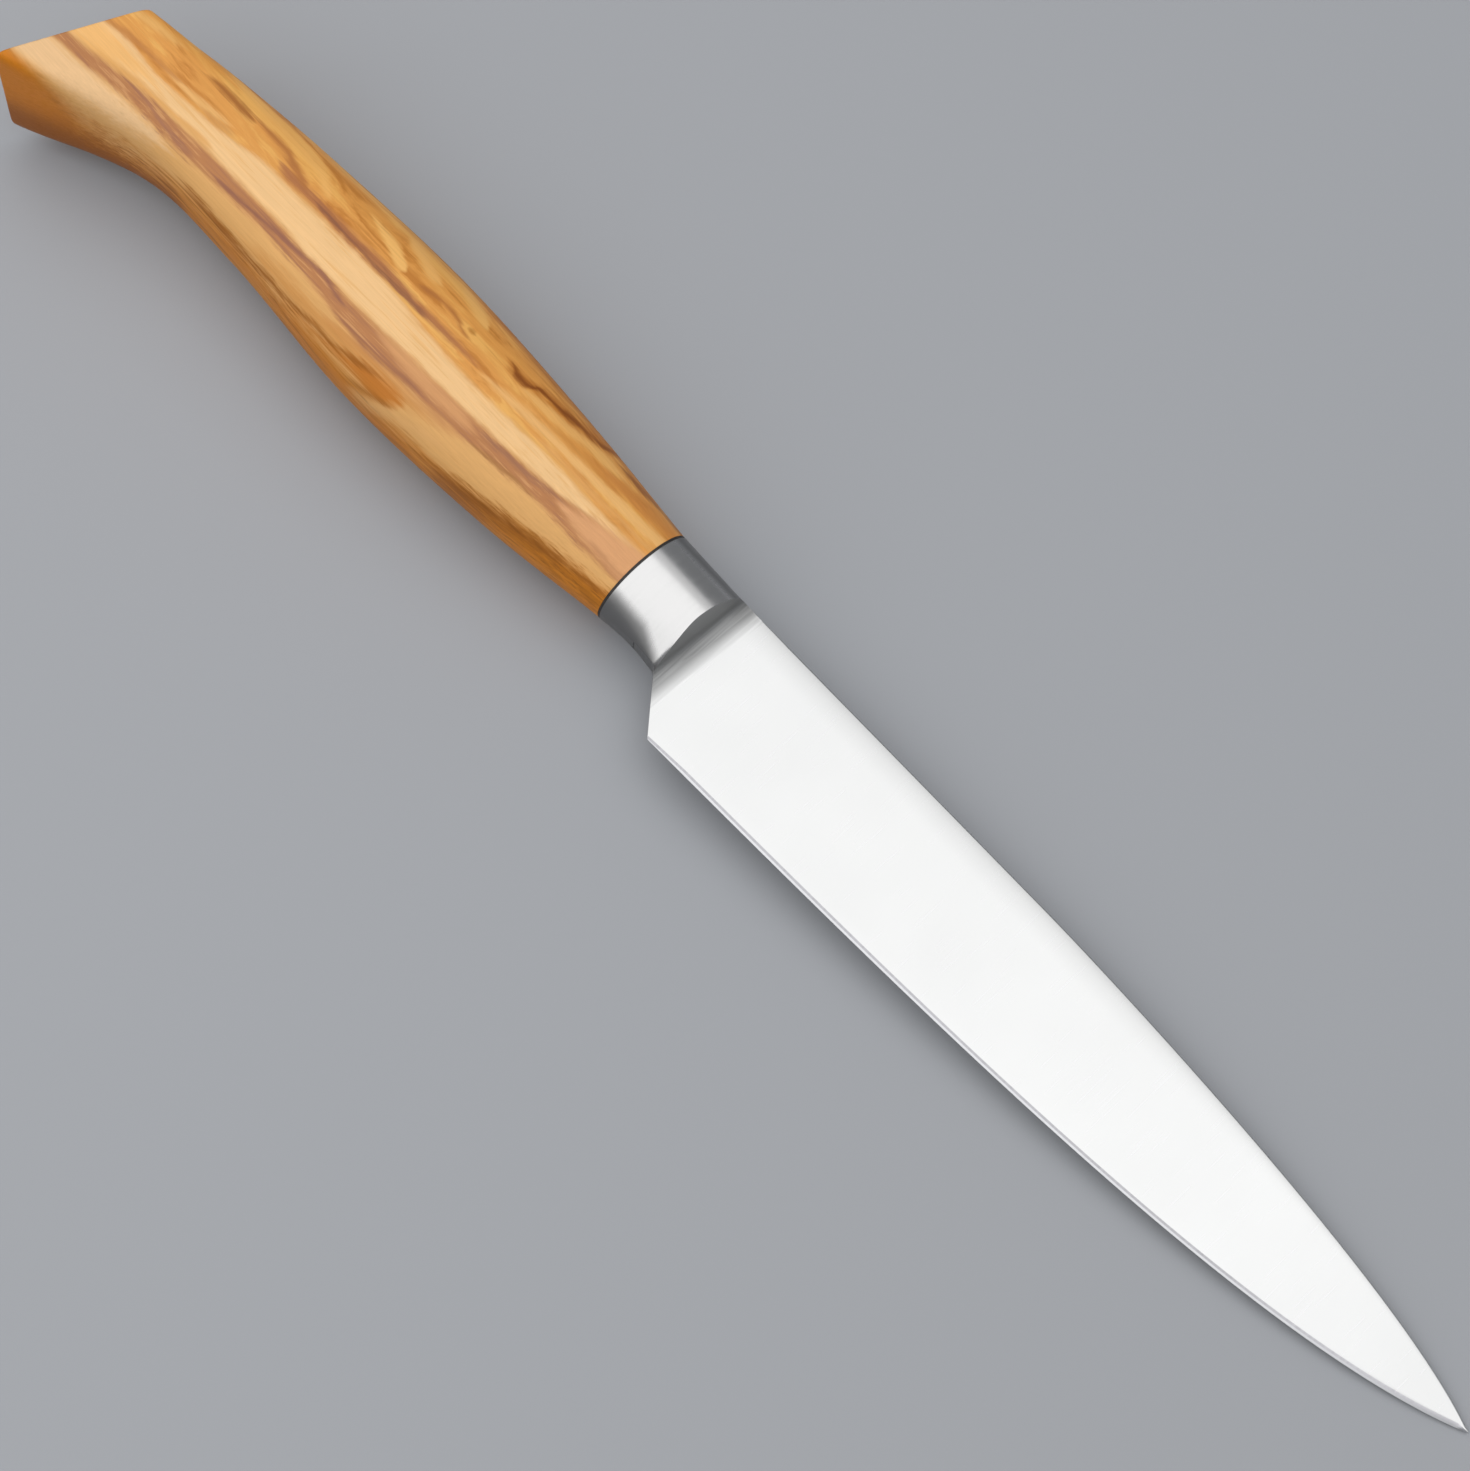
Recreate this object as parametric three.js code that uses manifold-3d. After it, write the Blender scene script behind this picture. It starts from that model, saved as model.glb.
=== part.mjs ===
// Vegetable knife: a ground steel blade, a welded bolster and an olive wood handle on a hidden tang.
// It lies on its side, as it does on a table. Lengths are millimetres.
// The knife's own axes start at the centre of the bolster's rear face: x runs to the tip,
// y to the spine and z across the blade.

import * as THREE from 'three';
import { mergeVertices } from 'three/addons/utils/BufferGeometryUtils.js';
import Module from 'manifold-3d';

const wasm = await Module();
wasm.setup();

// Blade outline
const BLADE_LENGTH = 128.4; // end of the plunge to the tip
const SPINE_HEIGHT = 7.0; // spine above the knife's axis
const SPINE_STRAIGHT = 51; // end of the plunge to where the spine starts to drop
const SPINE_DROP_EASE = 12; // length of the curve's first tangent
const SPINE_TIP_EASE = 16.5; // length of the curve's last tangent
const SPINE_TIP_ANGLE = 22.2; // degrees below the axis at the tip
const TIP_DEPTH = 0.6; // tip below the knife's axis
const CHOIL_DEPTH = 7.2; // underside of the bolster where the heel starts
const HEEL_DEPTH = 13.95; // heel's corner below the axis
const HEEL_ANGLE = 47.5; // degrees, slope of the heel's line
const EDGE_HEEL_EASE = 51;
const EDGE_HEEL_ANGLE = 1.2; // degrees above the axis at the heel
const EDGE_TIP_EASE = 26;
const EDGE_TIP_ANGLE = 24.7; // degrees above the axis at the tip

// Blade grind
const SHEET_THICKNESS = 2.0; // left as rolled at the spine by the bolster and on the stub
const HEEL_THICKNESS = 0.56; // behind the sharpened bevel at the heel
const TIP_THICKNESS = 0.7;
const BEVEL_WIDTH = 1.1;
const EDGE_LAND = 0.06; // flat left on the cutting edge

// Bolster
const RING_HEIGHT = 14.7; // oval shared by the bolster's rear, the spacer and the handle's front
const RING_THICKNESS = 12.7;
const BOLSTER_LENGTH = 9.6; // rear face to the wall of the plunge
const BOLSTER_FRONT_THICKNESS = 12.5;
const UNDERSIDE_HOLLOW = 0.35; // rise of the underside for the finger
const UNDERSIDE_REAR_FLAT = 0.2; // width of the underside at the rear, where the section is an oval
const UNDERSIDE_FRONT_FLAT = 2.8; // and at the choil, where the sides run straighter
const SIDE_FLATNESS = 1.5; // power of the lower side's curve at the front
const PLUNGE_RADIUS = 3.5;
const FORK_DEPTH = 4.0; // how far the bolster's fork grips the blade behind the plunge
const WELD_RECESS = 1.2; // depth and width of the weld groove in the rear face

// Stub, tang and bedding
const STUB_HEIGHT = 8.0;
const STUB_REACH = 7.0; // how far the stub stands out behind the bolster
const TANG_LENGTH = 60;
const TANG_HEIGHT = 8.0;
const TANG_THICKNESS = 2.5;
const NOTCH_RADIUS = 1.2;
const NOTCH_PITCH = 14;
const NOTCH_COUNT = 4; // on each edge of the tang
const BEAD_LENGTH = 2.0;
const BEAD_RISE = 0.8; // bead above the steel that it joins
const EPOXY_WALL = 1.0;
const BORE_END_ROOM = 2.0; // adhesive past the tang's end

// Spacer and joints
const SPACER_THICKNESS = 0.3;
const SPACER_CLEARANCE = 0.3; // round the stub
const GLUE_LINE = 0.1; // gap left at every glued or welded joint

// Handle: heights above and below the axis at five places behind its front face
const GRIP_BACK = 19.5;
const GRIP_TOP = 8.95;
const GRIP_BOTTOM = 9.75;
const GRIP_THICKNESS = 16;
const BELLY_BACK = 43.5;
const BELLY_TOP = 9.9;
const BELLY_BOTTOM = 10.85;
const BELLY_THICKNESS = 18;
const WAIST_BACK = 67.5;
const WAIST_TOP = 8.7;
const WAIST_BOTTOM = 9.3;
const WAIST_THICKNESS = 16.6;
const FLARE_BACK = 83.5;
const FLARE_TOP = 6.8;
const FLARE_BOTTOM = 9.6;
const FLARE_THICKNESS = 17;
const FLARE_LEAN = 12.4; // degrees, lean of the section towards the butt's slant
const BUTT_BACK = 97.5;
const BUTT_TOP = 3.75;
const BUTT_BOTTOM = 16.05; // the beak
const BUTT_THICKNESS = 18.5;
const BUTT_LEAN = 23.3; // degrees, slant of the butt's end face

// Squareness of the handle's section: 2 is an oval, more is nearer a rounded rectangle
const RING_SQUARENESS = 2.0;
const GRIP_SQUARENESS = 2.2;
const BELLY_SQUARENESS = 2.4;
const WAIST_SQUARENESS = 2.6;
const FLARE_SQUARENESS = 3.55;
const BUTT_SQUARENESS = 7.5;

// Facets
const HANDLE_RINGS = 40;
const RING_POINTS = 36;
const BOLSTER_RINGS = 10;
const EDGE_STEPS = 24;
const ARC_STEPS = 8;

// Values worked out from the sizes above
const FLAT_START = BOLSTER_LENGTH + PLUNGE_RADIUS;
const TIP = new THREE.Vector2(FLAT_START + BLADE_LENGTH, -TIP_DEPTH);
const CHOIL = new THREE.Vector2(BOLSTER_LENGTH, -CHOIL_DEPTH);
const HEEL_RUN = (HEEL_DEPTH - CHOIL_DEPTH) / Math.tan(THREE.MathUtils.degToRad(HEEL_ANGLE));
const HEEL = new THREE.Vector2(CHOIL.x + HEEL_RUN, -HEEL_DEPTH);
const SHOULDER = BOLSTER_LENGTH - FORK_DEPTH;
const SPACER_FRONT = -GLUE_LINE;
const SPACER_REAR = SPACER_FRONT - SPACER_THICKNESS;
const HANDLE_FRONT = SPACER_REAR - GLUE_LINE;
const BEAD_FRONT = -STUB_REACH - GLUE_LINE;
const BEAD_REAR = BEAD_FRONT - BEAD_LENGTH;
const TANG_FRONT = BEAD_REAR - GLUE_LINE;
const TANG_REAR = TANG_FRONT - TANG_LENGTH;
const BORE_REAR = TANG_REAR - BORE_END_ROOM;
const BEAD_HEIGHT = Math.max(STUB_HEIGHT, TANG_HEIGHT) + 2 * BEAD_RISE;
const BEAD_THICKNESS = Math.max(SHEET_THICKNESS, TANG_THICKNESS) + 2 * BEAD_RISE;
const CUTTER_MARGIN = 4; // how far a cutting shape runs past what it cuts

function direction(degrees) {
  const angle = THREE.MathUtils.degToRad(degrees);
  return new THREE.Vector2(Math.cos(angle), Math.sin(angle));
}

function toSolid(geometry) {
  geometry.deleteAttribute('normal');
  geometry.deleteAttribute('uv');
  const merged = mergeVertices(geometry, 1e-4);
  const vertProperties = new Float32Array(merged.attributes.position.array);
  const triVerts = new Uint32Array(merged.index.array);
  return new wasm.Manifold(new wasm.Mesh({ numProp: 3, vertProperties, triVerts }));
}

function toGeometry(solid) {
  const mesh = solid.getMesh();
  const geometry = new THREE.BufferGeometry();
  geometry.setAttribute('position', new THREE.BufferAttribute(mesh.vertProperties, 3));
  geometry.setIndex(new THREE.BufferAttribute(mesh.triVerts, 1));
  return geometry;
}

// A closed solid through rings of equal length that run from low x to high x,
// each ring turning from y towards z.
function loft(rings) {
  const count = rings[0].length;
  const last = rings.length - 1;
  const points = rings.flat();
  const index = [];
  for (let i = 0; i < last; i += 1) {
    for (let j = 0; j < count; j += 1) {
      const next = (j + 1) % count;
      const a = i * count + j;
      const b = i * count + next;
      const c = a + count;
      const d = b + count;
      index.push(a, b, c, b, d, c);
    }
  }
  for (const i of [0, last]) {
    const centre = rings[i].reduce((sum, point) => sum.add(point), new THREE.Vector3());
    const hub = points.push(centre.divideScalar(count)) - 1;
    for (let j = 0; j < count; j += 1) {
      const a = i * count + j;
      const b = i * count + ((j + 1) % count);
      index.push(hub, ...(i === 0 ? [b, a] : [a, b]));
    }
  }
  const geometry = new THREE.BufferGeometry().setFromPoints(points);
  geometry.setIndex(index);
  return geometry;
}

// A ring with its own heights above and below the axis, at x plus lean times y.
function sectionRing(x, { top, bottom, half, squareness, lean }) {
  const power = 2 / squareness;
  const middle = (top - bottom) / 2;
  const reach = (top + bottom) / 2;
  const ring = [];
  for (let j = 0; j < RING_POINTS; j += 1) {
    const angle = (2 * Math.PI * j) / RING_POINTS;
    const across = Math.cos(angle);
    const up = Math.sin(angle);
    const y = middle + reach * Math.sign(across) * Math.abs(across) ** power;
    const z = half * Math.sign(up) * Math.abs(up) ** power;
    ring.push(new THREE.Vector3(x + lean * y, y, z));
  }
  return ring;
}

function roundedRectangle(height, width, radius) {
  const y = height / 2 - radius;
  const z = width / 2 - radius;
  const shape = new THREE.Shape();
  shape.absarc(y, z, radius, 0, Math.PI / 2, false);
  shape.absarc(-y, z, radius, Math.PI / 2, Math.PI, false);
  shape.absarc(-y, -z, radius, Math.PI, 1.5 * Math.PI, false);
  shape.absarc(y, -z, radius, 1.5 * Math.PI, 2 * Math.PI, false);
  return shape;
}

function rectangle(height, width) {
  const shape = new THREE.Shape();
  shape.moveTo(height / 2, width / 2);
  shape.lineTo(-height / 2, width / 2);
  shape.lineTo(-height / 2, -width / 2);
  shape.lineTo(height / 2, -width / 2);
  return shape;
}

// A prism along x of a shape drawn in y and z.
function barAlongX(shape, low, high, curveSegments = ARC_STEPS) {
  const options = { depth: high - low, bevelEnabled: false, curveSegments };
  const geometry = new THREE.ExtrudeGeometry(shape, options);
  const axes = new THREE.Matrix4().makeBasis(
    new THREE.Vector3(0, 1, 0),
    new THREE.Vector3(0, 0, 1),
    new THREE.Vector3(1, 0, 0),
  );
  geometry.applyMatrix4(axes);
  return geometry.translate(low, 0, 0);
}

// A plate of an outline drawn in x and y, centred on the blade's middle plane.
function plate(shape, thickness) {
  const options = { depth: thickness, bevelEnabled: false, curveSegments: EDGE_STEPS };
  return new THREE.ExtrudeGeometry(shape, options).translate(0, 0, -thickness / 2);
}

// Blade: half its thickness falls evenly from the spine to the heel and to the tip.
const heelDrop = SPINE_HEIGHT + HEEL_DEPTH - BEVEL_WIDTH;
const tipDrop = SPINE_HEIGHT + TIP_DEPTH;
const slopeAcross = (SHEET_THICKNESS - HEEL_THICKNESS) / 2 / heelDrop;
const slopeAlong = ((SHEET_THICKNESS - TIP_THICKNESS) / 2 - slopeAcross * tipDrop) / BLADE_LENGTH;

function groundHalf(point) {
  const fromSpine = SPINE_HEIGHT - point.y;
  return SHEET_THICKNESS / 2 - slopeAcross * fromSpine - slopeAlong * (point.x - FLAT_START);
}

const edgeCurve = new THREE.CubicBezierCurve(
  HEEL,
  HEEL.clone().addScaledVector(direction(EDGE_HEEL_ANGLE), EDGE_HEEL_EASE),
  TIP.clone().addScaledVector(direction(EDGE_TIP_ANGLE), -EDGE_TIP_EASE),
  TIP,
);

function bladeOutline() {
  const shape = new THREE.Shape();
  const dropStart = FLAT_START + SPINE_STRAIGHT;
  const tipEase = TIP.clone().addScaledVector(direction(-SPINE_TIP_ANGLE), -SPINE_TIP_EASE);
  shape.moveTo(-STUB_REACH, -STUB_HEIGHT / 2);
  shape.lineTo(SHOULDER, -STUB_HEIGHT / 2);
  shape.lineTo(SHOULDER, -CHOIL_DEPTH + 2 * UNDERSIDE_HOLLOW);
  shape.lineTo(CHOIL.x, CHOIL.y);
  shape.lineTo(HEEL.x, HEEL.y);
  shape.bezierCurveTo(...edgeCurve.v1.toArray(), ...edgeCurve.v2.toArray(), TIP.x, TIP.y);
  shape.bezierCurveTo(
    ...tipEase.toArray(),
    dropStart + SPINE_DROP_EASE,
    SPINE_HEIGHT,
    dropStart,
    SPINE_HEIGHT,
  );
  shape.lineTo(SHOULDER, SPINE_HEIGHT);
  shape.lineTo(SHOULDER, STUB_HEIGHT / 2);
  shape.lineTo(-STUB_REACH, STUB_HEIGHT / 2);
  return shape;
}

// What the grinding wheel takes from one side of the blade and the bolster: all that stands
// above the blade's ground face, and in front of a round plunge that ends in an upright wall.
function grindCutter(side) {
  const reach = BLADE_LENGTH + CUTTER_MARGIN;
  const height = RING_THICKNESS + CUTTER_MARGIN;
  const width = 2 * (HEEL_DEPTH + RING_HEIGHT);
  const profile = new THREE.Shape();
  profile.moveTo(reach, 0);
  profile.lineTo(reach, height);
  profile.lineTo(-PLUNGE_RADIUS, height);
  profile.lineTo(-PLUNGE_RADIUS, PLUNGE_RADIUS);
  profile.absarc(0, PLUNGE_RADIUS, PLUNGE_RADIUS, Math.PI, 1.5 * Math.PI, false);
  const options = { depth: width, bevelEnabled: false, curveSegments: 2 * ARC_STEPS };
  const geometry = new THREE.ExtrudeGeometry(profile, options).translate(0, 0, -width / 2);
  const across = new THREE.Vector3(0, side, slopeAcross).normalize();
  const normal = new THREE.Vector3(slopeAlong, -slopeAcross, side).normalize();
  const along = new THREE.Vector3().crossVectors(across, normal);
  const axes = new THREE.Matrix4().makeBasis(along, normal, across.negate());
  geometry.applyMatrix4(axes);
  return toSolid(geometry.translate(FLAT_START, SPINE_HEIGHT, (side * SHEET_THICKNESS) / 2));
}

// What sharpening takes from one side: all that stands above a plane through the edge's land
// and the line where the bevel starts, followed along the edge.
function bevelCutter(side) {
  const rings = [];
  for (let i = -1; i <= EDGE_STEPS + 1; i += 1) {
    const share = THREE.MathUtils.clamp(i / EDGE_STEPS, 0, 1);
    const tangent = edgeCurve.getTangent(share);
    const inward = new THREE.Vector2(-tangent.y, tangent.x);
    const edge = edgeCurve.getPoint(share);
    edge.addScaledVector(tangent, (i / EDGE_STEPS - share) * EDGE_STEPS * CUTTER_MARGIN);
    const start = edge.clone().addScaledVector(inward, BEVEL_WIDTH);
    const rise = (groundHalf(start) - EDGE_LAND / 2) / BEVEL_WIDTH;
    const corner = (reach, z) => {
      const point = edge.clone().addScaledVector(inward, reach);
      return new THREE.Vector3(point.x, point.y, side * z);
    };
    const inner = 2 * BEVEL_WIDTH;
    const outer = -BEVEL_WIDTH;
    const ring = [
      corner(inner, EDGE_LAND / 2 + rise * inner),
      corner(inner, CUTTER_MARGIN),
      corner(outer, CUTTER_MARGIN),
      corner(outer, EDGE_LAND / 2 + rise * outer),
    ];
    rings.push(side > 0 ? ring : ring.reverse());
  }
  return toSolid(loft(rings));
}

const grindCutters = [grindCutter(1), grindCutter(-1)];

function bladeGeometry() {
  let blade = toSolid(plate(bladeOutline(), SHEET_THICKNESS));
  for (const cutter of [...grindCutters, bevelCutter(1), bevelCutter(-1)]) {
    blade = blade.subtract(cutter);
  }
  return toGeometry(blade);
}

// One section of the bolster: the upper half is an oval, and the lower half goes from an oval at
// the rear to straighter sides with a narrow underside at the choil.
function bolsterRing(x) {
  const toFront = Math.min(1, x / BOLSTER_LENGTH);
  const hollow = UNDERSIDE_HOLLOW * Math.sin(Math.PI * toFront);
  const top = THREE.MathUtils.lerp(RING_HEIGHT / 2, SPINE_HEIGHT, toFront);
  const bottom = THREE.MathUtils.lerp(RING_HEIGHT / 2, CHOIL_DEPTH, toFront) - hollow;
  const half = THREE.MathUtils.lerp(RING_THICKNESS, BOLSTER_FRONT_THICKNESS, toFront) / 2;
  const flat = THREE.MathUtils.lerp(UNDERSIDE_REAR_FLAT, UNDERSIDE_FRONT_FLAT, toFront) / 2;
  const side = [];
  for (let j = 0; j <= RING_POINTS / 2; j += 1) {
    const angle = (2 * Math.PI * j) / RING_POINTS;
    const up = Math.cos(angle);
    const oval = Math.sin(angle);
    if (up >= 0) {
      side.push(new THREE.Vector3(x, top * up, half * oval));
    } else {
      const straight = 1 - Math.abs(up) ** SIDE_FLATNESS;
      const z = flat + (half - flat) * THREE.MathUtils.lerp(oval, straight, toFront);
      side.push(new THREE.Vector3(x, bottom * up, z));
    }
  }
  const mirrored = side.slice(1).reverse().map((point) => new THREE.Vector3(x, point.y, -point.z));
  return [...side, ...mirrored];
}

// Bolster: a bar with a slightly hollow underside, ground by the same wheel as the blade,
// forked over the blade and bored for the stub, with a weld groove round the stub.
function bolsterGeometry() {
  const rings = [];
  const end = FLAT_START + GLUE_LINE;
  for (let i = 0; i <= BOLSTER_RINGS; i += 1) {
    rings.push(bolsterRing((i / BOLSTER_RINGS) * end));
  }
  const slot = SHEET_THICKNESS + 2 * GLUE_LINE;
  const stubSlot = STUB_HEIGHT + 2 * GLUE_LINE;
  const tall = 2 * RING_HEIGHT;
  const fork = barAlongX(rectangle(tall, slot), SHOULDER - GLUE_LINE, end + CUTTER_MARGIN);
  const stub = barAlongX(rectangle(stubSlot, slot), -CUTTER_MARGIN, end);
  const groove = rectangle(stubSlot + 2 * WELD_RECESS, slot + 2 * WELD_RECESS);
  let bolster = toSolid(loft(rings));
  for (const cutter of grindCutters) {
    bolster = bolster.subtract(cutter);
  }
  for (const cutter of [fork, stub, barAlongX(groove, -CUTTER_MARGIN, WELD_RECESS)]) {
    bolster = bolster.subtract(toSolid(cutter));
  }
  return toGeometry(bolster);
}

function bolsterWeldGeometry() {
  const height = STUB_HEIGHT + 2 * GLUE_LINE;
  const width = SHEET_THICKNESS + 2 * GLUE_LINE;
  const rim = 2 * (WELD_RECESS - GLUE_LINE);
  const frame = rectangle(height + rim, width + rim);
  frame.holes.push(rectangle(height, width));
  return barAlongX(frame, 0, WELD_RECESS - GLUE_LINE);
}

function tangWeldGeometry() {
  const bead = roundedRectangle(BEAD_HEIGHT, BEAD_THICKNESS, BEAD_RISE);
  return barAlongX(bead, BEAD_REAR, BEAD_FRONT);
}

// Tang: a strip with round glue notches on both edges. Grown a little it is the space it takes up.
function tangSolid(grow) {
  const half = TANG_HEIGHT / 2 + grow;
  const radius = NOTCH_RADIUS - grow;
  const middle = (TANG_FRONT + TANG_REAR) / 2;
  const firstNotch = middle - ((NOTCH_COUNT - 1) * NOTCH_PITCH) / 2;
  const shape = new THREE.Shape();
  shape.moveTo(TANG_REAR - grow, half);
  shape.lineTo(TANG_REAR - grow, -half);
  for (let i = 0; i < NOTCH_COUNT; i += 1) {
    shape.absarc(firstNotch + i * NOTCH_PITCH, -half, radius, Math.PI, 0, true);
  }
  shape.lineTo(TANG_FRONT + grow, -half);
  shape.lineTo(TANG_FRONT + grow, half);
  for (let i = NOTCH_COUNT - 1; i >= 0; i -= 1) {
    shape.absarc(firstNotch + i * NOTCH_PITCH, half, radius, 0, -Math.PI, true);
  }
  const options = { depth: TANG_THICKNESS + 2 * grow, bevelEnabled: false, curveSegments: ARC_STEPS };
  return toSolid(new THREE.ExtrudeGeometry(shape, options).translate(0, 0, -options.depth / 2));
}

function spacerGeometry() {
  const shape = new THREE.Shape();
  shape.absellipse(0, 0, RING_HEIGHT / 2, RING_THICKNESS / 2, 0, 2 * Math.PI, false, 0);
  const opening = 2 * SPACER_CLEARANCE;
  shape.holes.push(rectangle(STUB_HEIGHT + opening, SHEET_THICKNESS + opening));
  return barAlongX(shape, SPACER_REAR, SPACER_FRONT, RING_POINTS / 2);
}

// The handle's blind bore, with a wall of adhesive round the weld bead. Shrunk it is the adhesive.
function boreSolid(shrink, front) {
  const height = BEAD_HEIGHT + 2 * (EPOXY_WALL - shrink);
  const width = BEAD_THICKNESS + 2 * (EPOXY_WALL - shrink);
  const shape = roundedRectangle(height, width, BEAD_RISE + EPOXY_WALL - shrink);
  return toSolid(barAlongX(shape, BORE_REAR + shrink, front));
}

function beddingGeometry() {
  const channel = 2 * GLUE_LINE;
  const stub = rectangle(STUB_HEIGHT + channel, SHEET_THICKNESS + channel);
  const bead = roundedRectangle(BEAD_HEIGHT + channel, BEAD_THICKNESS + channel, BEAD_RISE + GLUE_LINE);
  const cuts = [
    tangSolid(GLUE_LINE),
    toSolid(barAlongX(bead, BEAD_REAR - GLUE_LINE, BEAD_FRONT + GLUE_LINE)),
    toSolid(barAlongX(stub, BEAD_FRONT, CUTTER_MARGIN)),
  ];
  return toGeometry(cuts.reduce((rest, cut) => rest.subtract(cut), boreSolid(GLUE_LINE, HANDLE_FRONT)));
}

// Handle: sections carried by a smooth curve through the ring, grip, belly, waist, flare and butt.
function handleGeometry() {
  const lean = (degrees) => Math.tan(THREE.MathUtils.degToRad(degrees));
  const ring = RING_HEIGHT / 2;
  const heights = new THREE.CatmullRomCurve3([
    new THREE.Vector3(BUTT_BACK, BUTT_TOP, BUTT_BOTTOM),
    new THREE.Vector3(FLARE_BACK, FLARE_TOP, FLARE_BOTTOM),
    new THREE.Vector3(WAIST_BACK, WAIST_TOP, WAIST_BOTTOM),
    new THREE.Vector3(BELLY_BACK, BELLY_TOP, BELLY_BOTTOM),
    new THREE.Vector3(GRIP_BACK, GRIP_TOP, GRIP_BOTTOM),
    new THREE.Vector3(0, ring, ring),
  ], false, 'catmullrom', 0.5);
  const sections = new THREE.CatmullRomCurve3([
    new THREE.Vector3(BUTT_THICKNESS / 2, BUTT_SQUARENESS, lean(BUTT_LEAN)),
    new THREE.Vector3(FLARE_THICKNESS / 2, FLARE_SQUARENESS, lean(FLARE_LEAN)),
    new THREE.Vector3(WAIST_THICKNESS / 2, WAIST_SQUARENESS, 0),
    new THREE.Vector3(BELLY_THICKNESS / 2, BELLY_SQUARENESS, 0),
    new THREE.Vector3(GRIP_THICKNESS / 2, GRIP_SQUARENESS, 0),
    new THREE.Vector3(RING_THICKNESS / 2, RING_SQUARENESS, 0),
  ], false, 'catmullrom', 0.5);
  const rings = [];
  for (let i = 0; i <= HANDLE_RINGS; i += 1) {
    const [back, top, bottom] = heights.getPoint(i / HANDLE_RINGS).toArray();
    const [half, squareness, leaning] = sections.getPoint(i / HANDLE_RINGS).toArray();
    rings.push(sectionRing(HANDLE_FRONT - back, { top, bottom, half, squareness, lean: leaning }));
  }
  return toGeometry(toSolid(loft(rings)).subtract(boreSolid(0, CUTTER_MARGIN)));
}

const oliveWood = new THREE.MeshStandardMaterial({ color: 0xd9a15b, roughness: 0.5, metalness: 0 });
const satinSteel = new THREE.MeshStandardMaterial({ color: 0xd8d9da, roughness: 0.3, metalness: 1 });
const polishedSteel = new THREE.MeshStandardMaterial({ color: 0xc9cacb, roughness: 0.2, metalness: 1 });
const rawSteel = new THREE.MeshStandardMaterial({ color: 0x8b8d90, roughness: 0.55, metalness: 1 });
const weldMetal = new THREE.MeshStandardMaterial({ color: 0x77726c, roughness: 0.65, metalness: 1 });
const blackFibre = new THREE.MeshStandardMaterial({ color: 0x1c1a18, roughness: 0.6, metalness: 0 });
const epoxy = new THREE.MeshStandardMaterial({ color: 0xc9b27a, roughness: 0.3, metalness: 0 });

function named(name, geometry, material) {
  const mesh = new THREE.Mesh(geometry, material);
  mesh.name = name;
  return mesh;
}

const blade = named('blade', bladeGeometry(), satinSteel);
const handle = named('handle', handleGeometry(), oliveWood);
const knife = new THREE.Group();
knife.add(
  blade,
  named('bolster', bolsterGeometry(), polishedSteel),
  named('bolster_weld', bolsterWeldGeometry(), weldMetal),
  named('tang', toGeometry(tangSolid(0)), rawSteel),
  named('tang_weld', tangWeldGeometry(), weldMetal),
  named('spacer', spacerGeometry(), blackFibre),
  named('epoxy_bedding', beddingGeometry(), epoxy),
  handle,
);

// Lowest point of a piece once the knife is tipped by an angle, tip down.
function lowest(mesh, angle) {
  const turned = mesh.geometry.clone().rotateY(angle);
  turned.computeBoundingBox();
  return turned.boundingBox.min.z;
}

// The tilt at which the side of the handle and the tip of the blade both touch the table.
function restingTilt() {
  let low = 0;
  let high = Math.PI / 8;
  for (let i = 0; i < 40; i += 1) {
    const middle = (low + high) / 2;
    if (lowest(handle, middle) < lowest(blade, middle)) {
      low = middle;
    } else {
      high = middle;
    }
  }
  return high;
}

// Lay the knife on the table, with the origin under the middle of its box.
knife.rotation.y = restingTilt();
const box = new THREE.Box3().setFromObject(knife, true);
const middle = box.getCenter(new THREE.Vector3());
knife.position.set(-middle.x, -middle.y, -box.min.z);

const part = new THREE.Group();
part.add(knife);

export default part;
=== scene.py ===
import math

import bmesh
import bpy
import numpy as np
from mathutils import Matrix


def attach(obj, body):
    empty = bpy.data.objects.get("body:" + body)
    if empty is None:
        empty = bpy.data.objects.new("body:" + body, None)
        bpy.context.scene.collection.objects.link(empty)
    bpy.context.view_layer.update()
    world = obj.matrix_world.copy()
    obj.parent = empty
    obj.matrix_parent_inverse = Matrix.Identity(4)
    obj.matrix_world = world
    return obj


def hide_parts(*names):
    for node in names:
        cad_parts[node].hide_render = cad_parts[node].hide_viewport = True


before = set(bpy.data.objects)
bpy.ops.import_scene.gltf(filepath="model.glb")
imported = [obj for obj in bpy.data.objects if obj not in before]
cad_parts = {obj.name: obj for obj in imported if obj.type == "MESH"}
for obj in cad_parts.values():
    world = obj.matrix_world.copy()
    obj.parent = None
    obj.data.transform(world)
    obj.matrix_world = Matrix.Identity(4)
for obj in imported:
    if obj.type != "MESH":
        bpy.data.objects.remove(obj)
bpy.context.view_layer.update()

# Blade
# Stamped from 2 mm stainless sheet, hardened, then ground from the spine to the edge and to the tip.
# The edge is sharpened from both sides. A stub at the root runs back through the bolster.
MM = 0.001
TILT = math.radians(2.757192442600172)  # tip down: the knife lies on its handle's side and its tip
SHIFT = (-18.141337, 3.075, 7.111082)  # the bolster's rear centre on the table's axes

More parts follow.
